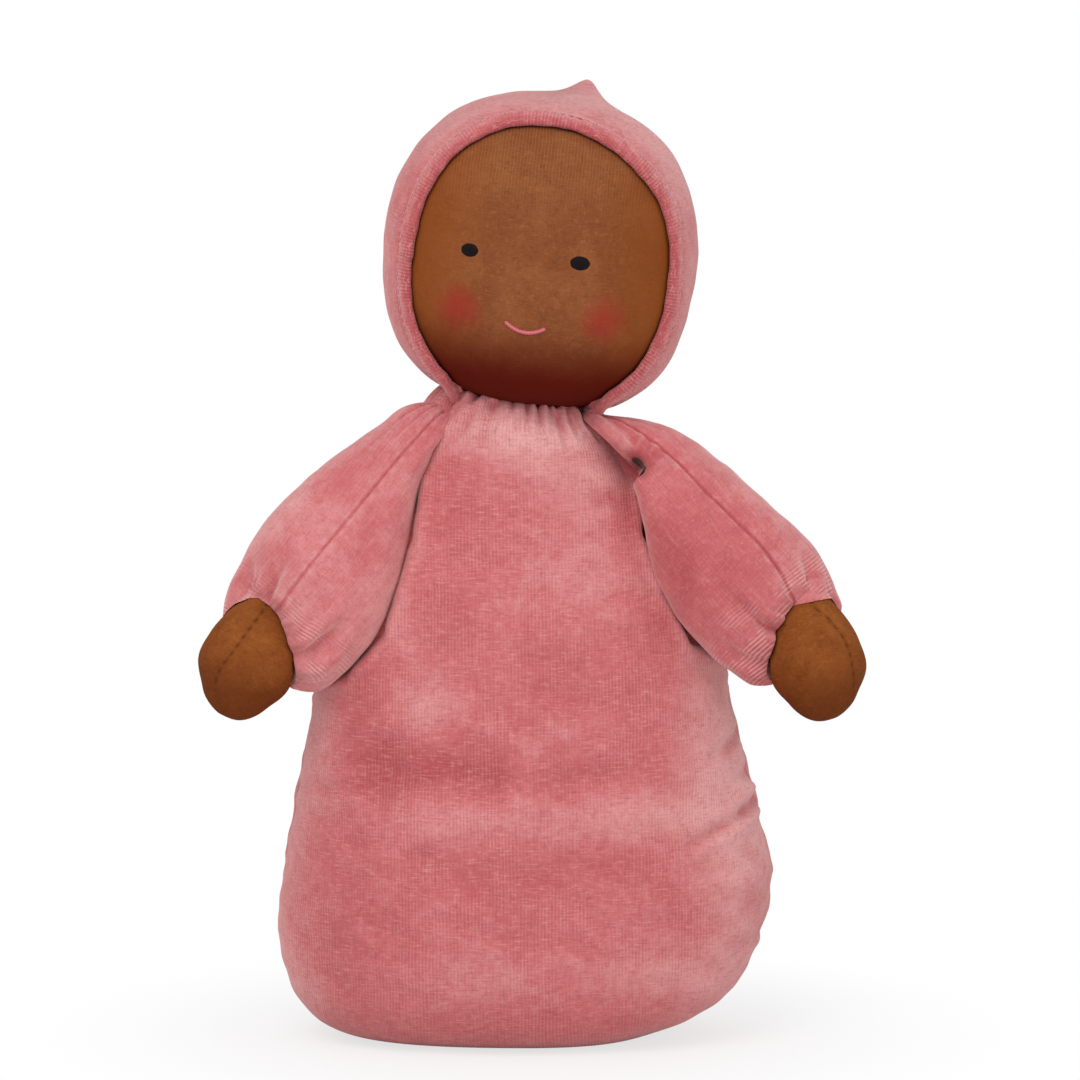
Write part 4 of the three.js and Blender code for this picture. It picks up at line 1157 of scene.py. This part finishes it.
def make_sleeve(side, velour):
    rows, cols = 260, 380
    grid, turned = sleeve_grid(side, rows, cols)
    seam, away = sleeve_seam(grid, turned, side)
    folds = sleeve_folds(grid, turned, side)
    end = ramp(SLEEVE_ENDS[side] - 4 - cuff_draw(turned, side) - grid[..., 0], -2, 4)
    # Painted shade in the pit at the end of the doll's left shoulder flap
    pit_shade = ramp(shoulder_pit(grid), 0.3, 0.75) * ramp(np.cos(turned), 0.0, 0.45) * (side == "left")
    grid = pushed(grid, (folds + seam) * end)
    normal = grid_normals(grid)
    cuff = bell(np.maximum(70 - grid[..., 0], 0), 9)
    # Painted sheen where the sleeve's top and underside turn away
    rim = ramp(np.abs(normal[..., 2]), 0.5, 1)
    middle = bell(np.hypot((grid[..., 0] - 42) / 24, (grid[..., 2] + 4) / 13), 1)
    tone_and_painted_light = 0.05 + 0.14 * cuff + 0.5 * rim + SLEEVES[side]["middle_nap"] * middle
    tone_and_painted_light += 0.07 * waves(grid, 24, 81) + 0.06 * waves(grid, 9, 82) + 0.03 * waves(grid, 4.5, 83)
    # Pale stitches beside the seam, then painted highlight on fold crests and painted shade in fold valleys
    tone_and_painted_light += 0.3 * bell(away - 1.1, 0.9) * np.sin(grid[..., 0] / 1.6) ** 2 + 0.25 * np.clip(folds, -2, 1)
    tone_and_painted_light -= SLEEVES[side]["seam_nap"] * bell(away, 0.5)
    # The painted shade of the pit is added here
    tone_and_painted_light = np.clip(tone_and_painted_light + SLEEVES[side]["tone_and_painted_light"], -1, 1) - 2.2 * pit_shade
    name = f"puffed_sleeve_{side}"
    piece = grid_piece(name, from_arm(grid, side), plane_map(grid, 2, 0), (True, True), tone_and_painted_light)
    nodes = (f"sleeve_{side}", f"arm_stuffing_{side}", f"wrist_thread_{side}")
    dress(piece, velour, "velour", f"{side}_arm", *nodes, fill=0.75)


def make_hand(side, jersey):
    rows, cols = 120, 180
    table = smooth_rows(HAND_ROWS, rows)
    angle = ring(cols)[None]
    along, radius = table[:, :1] + 0 * angle, table[:, 1:] + 0 * angle
    grid = np.stack([radius * np.cos(angle), HAND_DEPTH_SHARE * radius * np.sin(angle), along], -1)
    grid = pushed(grid, 0.2 * waves(grid, 16, 91))
    toward = 1 if side == "right" else -1
    path = np.array(HAND_SEAMS[side], float)
    outward = np.radians(90 + np.interp(along, path[:, 0], path[:, 1]))
    seam = np.abs(wrapped(angle - toward * outward)) * radius
    dash = ripple(along, 3.1) * ramp(17 - along, 0, 8)
    grid = pushed(grid, -0.3 * bell(seam, 0.5) * dash - 0.22 * bell(seam, 1.5))
    tone_and_painted_light = 0.75 * bell(seam, 0.45) * dash + 0.15 * bell(seam, 1.2) * ramp(17 - along, 0, 8)
    placed = from_arm(grid @ hand_matrix(side).T + HANDS[side], side)
    nodes = (f"hand_skin_{side}", f"hand_stuffing_{side}")
    piece = grid_piece(f"hand_jersey_{side}", placed, cloth_map(grid), (True, True), tone_and_painted_light)
    dress(piece, jersey, "jersey", f"{side}_arm", *nodes, fill=0.9)


def carried_over(materials):
    """Materials for the CAD nodes that stay: threads inside the cloth."""
    for name in ("neck_gathering_thread", "shoulder_tie_right", "shoulder_tie_left"):
        node = frame["nodes"][name]
        node.data.materials.clear()
        node.data.materials.append(materials["pink" if "shoulder" in name else "white"])


# Stage


def area_light(name, place, aim, size, power):
    data = bpy.data.lights.new(name, "AREA")
    data.shape, data.size, data.energy = "SQUARE", size, power
    aimed(linked(name, data), place, Vector(aim) - Vector(place))


def make_world():
    world = bpy.data.worlds.new("studio")
    bpy.context.scene.world = world
    world.use_nodes = True
    tree = world.node_tree
    back = tree.nodes["Background"]
    back.inputs["Color"].default_value = (1, 1, 1, 1)
    seen = tree.nodes.new("ShaderNodeLightPath").outputs["Is Camera Ray"]
    strength = tree.nodes.new("ShaderNodeMapRange")
    strength.inputs["To Min"].default_value = 0.62
    strength.inputs["To Max"].default_value = 1.0
    tree.links.new(seen, strength.inputs["Value"])
    tree.links.new(strength.outputs["Result"], back.inputs["Strength"])


def make_floor():
    """A pale floor that fades to white away from the doll and keeps its soft shadow."""
    mesh = bpy.data.meshes.new("floor")
    work = bmesh.new()
    bmesh.ops.create_circle(work, cap_ends=True, segments=96, radius=14)
    work.to_mesh(mesh)
    work.free()
    floor = linked("floor", mesh)
    floor.location.z = -0.0003
    n = Nodes("floor")
    n.set(Base_Color=(0.86, 0.86, 0.86, 1), Roughness=0.9, Specular_IOR_Level=0.0)
    glow = n.add("ShaderNodeEmission", {"Color": (1, 1, 1, 1), "Strength": 1.0}).outputs[0]
    far = n.add("ShaderNodeVectorMath", {0: n.object}, operation="LENGTH").outputs["Value"]
    fade = n.spread(far, 0.05, 0.17, 1.0, 0.72)
    seen = n.add("ShaderNodeLightPath").outputs["Is Camera Ray"]
    both = n.add("ShaderNodeMixShader", {0: n.times(fade, seen), 1: n.shader.outputs[0], 2: glow})
    n.put(n.output.inputs["Surface"], both.outputs[0])
    mesh.materials.append(n.material)


def make_camera():
    """A long lens level with the doll's chest, looking slightly down."""
    elevation, distance, width = math.radians(7), 2.4, 0.3348
    target = Vector((0.00465, 0, 0.155))
    back = Vector((0, -math.cos(elevation), math.sin(elevation)))
    data = bpy.data.cameras.new("camera")
    data.sensor_width = 36
    data.lens = 36 * distance / width
    camera = linked("camera", data)
    aimed(camera, target + back * distance, -back)
    bpy.context.scene.camera = camera


def make_doll():
    velour, sleeves = velour_material().material, sleeve_material().material
    band = velour_material("band_velour", "along", 1.5, 1.3).material
    face, hand = face_material(), hand_material()
    dark = thread_material("dark_thread", linear((24, 14, 15)), 0.55, 0.42, 0.1, 0.5)
    pink = thread_material("pink_thread", linear((205, 104, 114)), 0.6, 0.5, 0.35)
    white = thread_material("white_thread", linear((240, 234, 224)), 0.7, 0.5, 0.3)
    sewing = thread_material("sewing_thread", linear((226, 156, 156)), 0.7, 0.3, 0.25)
    make_torso(velour)
    make_collar(velour)
    make_face(face)
    make_neck(face)
    make_band(band)
    make_band_stitches(sewing)
    make_hood(velour)
    make_eye("right", dark)
    make_eye("left", dark)
    make_mouth(pink)
    for side in SHOULDERS:
        make_sleeve(side, sleeves)
        make_hand(side, hand)
    carried_over({"pink": pink, "white": white})


def make_stage():
    bpy.context.scene.view_settings.view_transform = "Standard"
    make_world()
    make_floor()
    area_light("key", (-0.5, -1.3, 1.35), (0, 0, 0.14), 1.1, 15)
    area_light("fill", (1.2, -1.2, 0.7), (0, 0, 0.14), 1.2, 5)
    make_camera()


make_stage()
make_doll()
